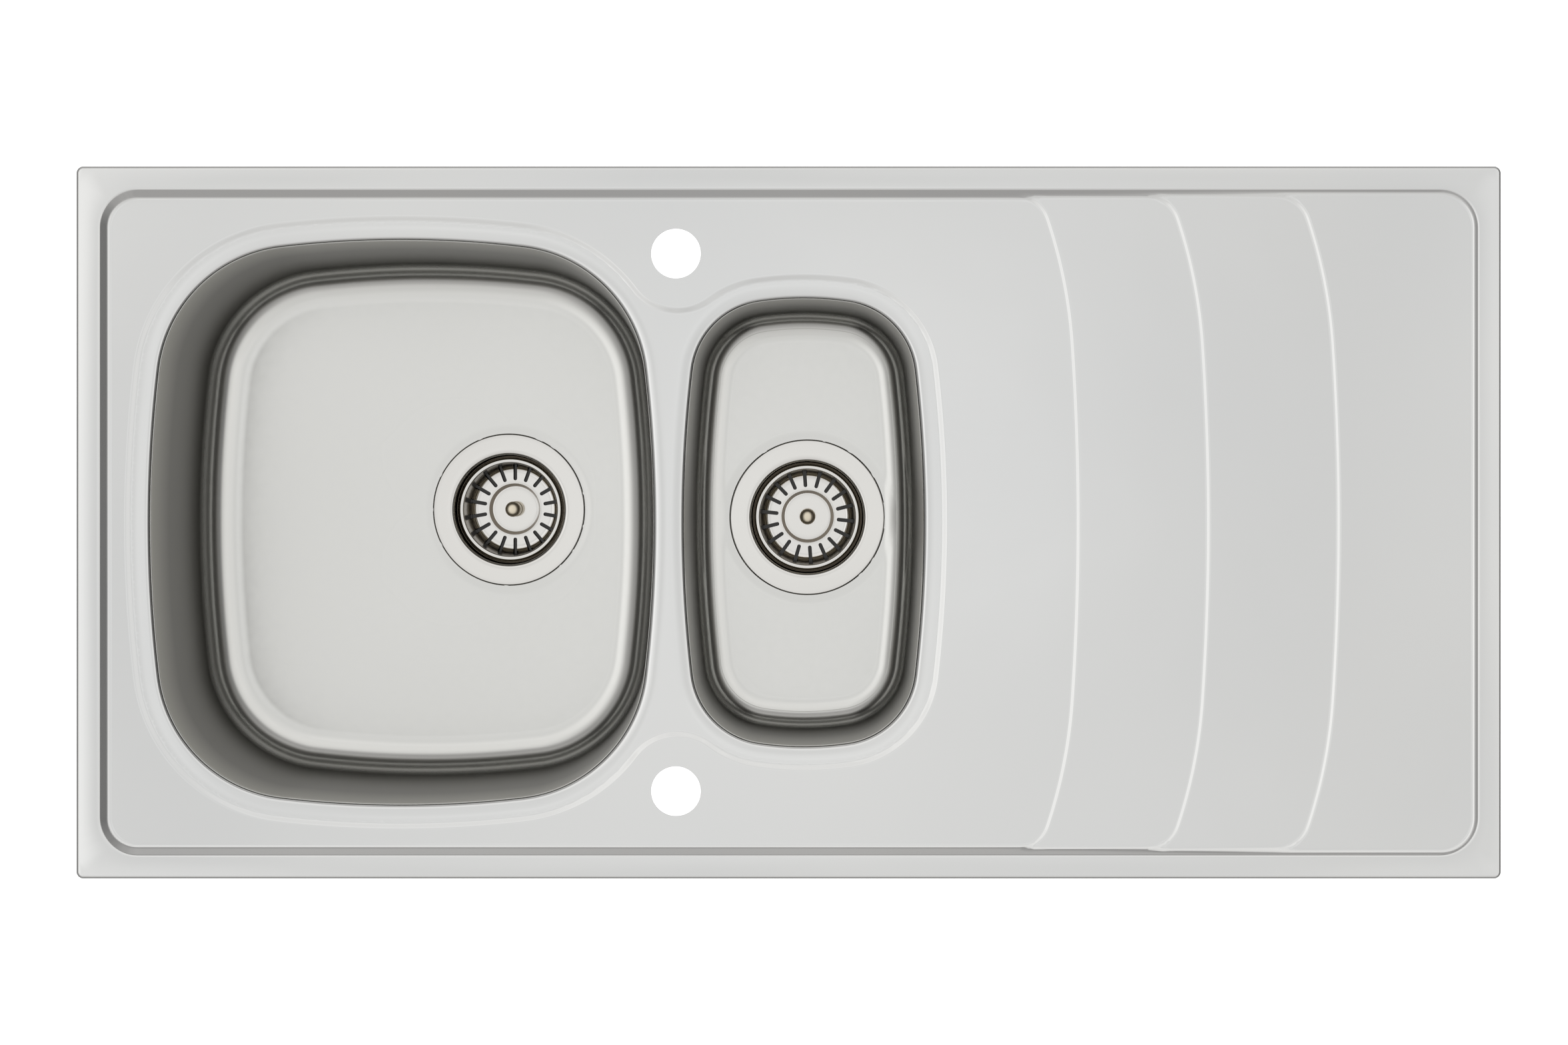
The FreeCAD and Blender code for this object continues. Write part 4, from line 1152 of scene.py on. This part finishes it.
# %% Floor, light and camera
floor_z = cad_box[0].z
floor_mesh = bpy.data.meshes.new("floor")
floor_mesh.from_pydata([(-6, -6, floor_z), (6, -6, floor_z), (6, 6, floor_z), (-6, 6, floor_z)],
                       [], [(0, 1, 2, 3)])
floor = bpy.data.objects.new("floor", floor_mesh)
bpy.context.scene.collection.objects.link(floor)
floor_paint = bpy.data.materials.new("white studio paint")
floor_paint.use_nodes = True
paint_tree = floor_paint.node_tree
shader = paint_tree.nodes["Principled BSDF"]
shader.inputs["Base Color"].default_value = linear("#c8c8c8")
shader.inputs["Roughness"].default_value = 0.9
shader.inputs["Emission Color"].default_value = (1, 1, 1, 1)
direct = add(paint_tree, "ShaderNodeLightPath").outputs["Is Camera Ray"]
paint_tree.links.new(direct, shader.inputs["Emission Strength"])
floor_mesh.materials.append(floor_paint)

world = bpy.data.worlds.new("studio dome")
bpy.context.scene.world = world
world.use_nodes = True
tree = world.node_tree
tree.nodes.clear()
ANGLES = (90, 75, 65, 56, 50, 35, 22, 14, 6, 0)
SIDES = {
    "right": (0.13, 0.18, 0.20, 0.22, 0.95, 1.04, 1.00, 0.88, 0.93, 1.02),
    "left": (0.25, 0.30, 0.34, 0.42, 0.50, 1.12, 1.26, 0.84, 1.05, 1.06),
    "front": (0.34, 0.43, 0.48, 0.60, 0.78, 0.84, 0.88, 0.92, 0.96, 1.04),
    "rear": (0.48, 0.72, 0.58, 0.34, 0.98, 1.05, 1.00, 0.92, 0.92, 1.02),
}
direction = add(tree, "ShaderNodeTexCoord").outputs["Generated"]
axes = add(tree, "ShaderNodeSeparateXYZ", {"Vector": direction}).outputs


def side_light(name):
    """Brightness against height for one side of the studio."""
    ramp = add(tree, "ShaderNodeValToRGB", {"Fac": axes["Z"]})
    band = ramp.color_ramp
    band.elements.remove(band.elements[1])
    for k, (angle, value) in enumerate(zip(ANGLES, SIDES[name])):
        place = math.cos(math.radians(angle))
        stop = band.elements[0] if k == 0 else band.elements.new(place)
        warm = 0.02 * angle / 90
        stop.color = (value * (1 + warm), value, value * (1 - warm), 1)
    return ramp.outputs[0]


to_right = add(tree, "ShaderNodeMath", {0: axes["X"], 1: 0.0}, operation="GREATER_THAN").outputs[0]
to_rear = add(tree, "ShaderNodeMath", {0: axes["Y"], 1: 0.0}, operation="GREATER_THAN").outputs[0]
across = add(tree, "ShaderNodeMix", {0: to_right, 6: side_light("left"), 7: side_light("right")},
             data_type="RGBA").outputs[2]
along = add(tree, "ShaderNodeMix", {0: to_rear, 6: side_light("front"), 7: side_light("rear")},
            data_type="RGBA").outputs[2]
x_square = add(tree, "ShaderNodeMath", {0: axes["X"], 1: axes["X"]}, operation="MULTIPLY").outputs[0]
y_square = add(tree, "ShaderNodeMath", {0: axes["Y"], 1: axes["Y"]}, operation="MULTIPLY").outputs[0]
both = add(tree, "ShaderNodeMath", {0: x_square, 1: y_square}, operation="ADD").outputs[0]
spread = add(tree, "ShaderNodeMath", {0: both, 1: 1e-6}, operation="ADD").outputs[0]
share = add(tree, "ShaderNodeMath", {0: y_square, 1: spread}, operation="DIVIDE").outputs[0]
plain = add(tree, "ShaderNodeMix", {0: share, 6: across, 7: along}, data_type="RGBA").outputs[2]
cloud = add(tree, "ShaderNodeTexNoise", {"Vector": direction, "Scale": 9.0, "Detail": 2.0}).outputs[0]
patchy = add(tree, "ShaderNodeMapRange", {"Value": cloud, "From Min": 0.3, "From Max": 0.7,
                                          "To Min": 0.93, "To Max": 1.07}).outputs[0]
dome = add(tree, "ShaderNodeVectorMath", {0: plain, 1: patchy}, operation="MULTIPLY").outputs[0]
seen = add(tree, "ShaderNodeLightPath").outputs["Is Camera Ray"]
shown = add(tree, "ShaderNodeMix", {0: seen, 6: dome, 7: (1, 1, 1, 1)}, data_type="RGBA").outputs[2]
light = add(tree, "ShaderNodeBackground", {"Color": shown, "Strength": 1.0})
add(tree, "ShaderNodeOutputWorld", {"Surface": light.outputs[0]})

CAMERA_HEIGHT = 2.05
FRAME_WIDTH = 1.1028
camera_data = bpy.data.cameras.new("camera")
camera = bpy.data.objects.new("camera", camera_data)
bpy.context.scene.collection.objects.link(camera)
bpy.context.scene.camera = camera
camera_data.sensor_width = 36.0
camera_data.lens = 36.0 * CAMERA_HEIGHT / FRAME_WIDTH
camera.location = (0.0241, 0.0346, CAMERA_HEIGHT)
camera_data.shift_x = -0.02486
camera_data.shift_y = -0.03145
bpy.context.scene.view_settings.view_transform = "Standard"
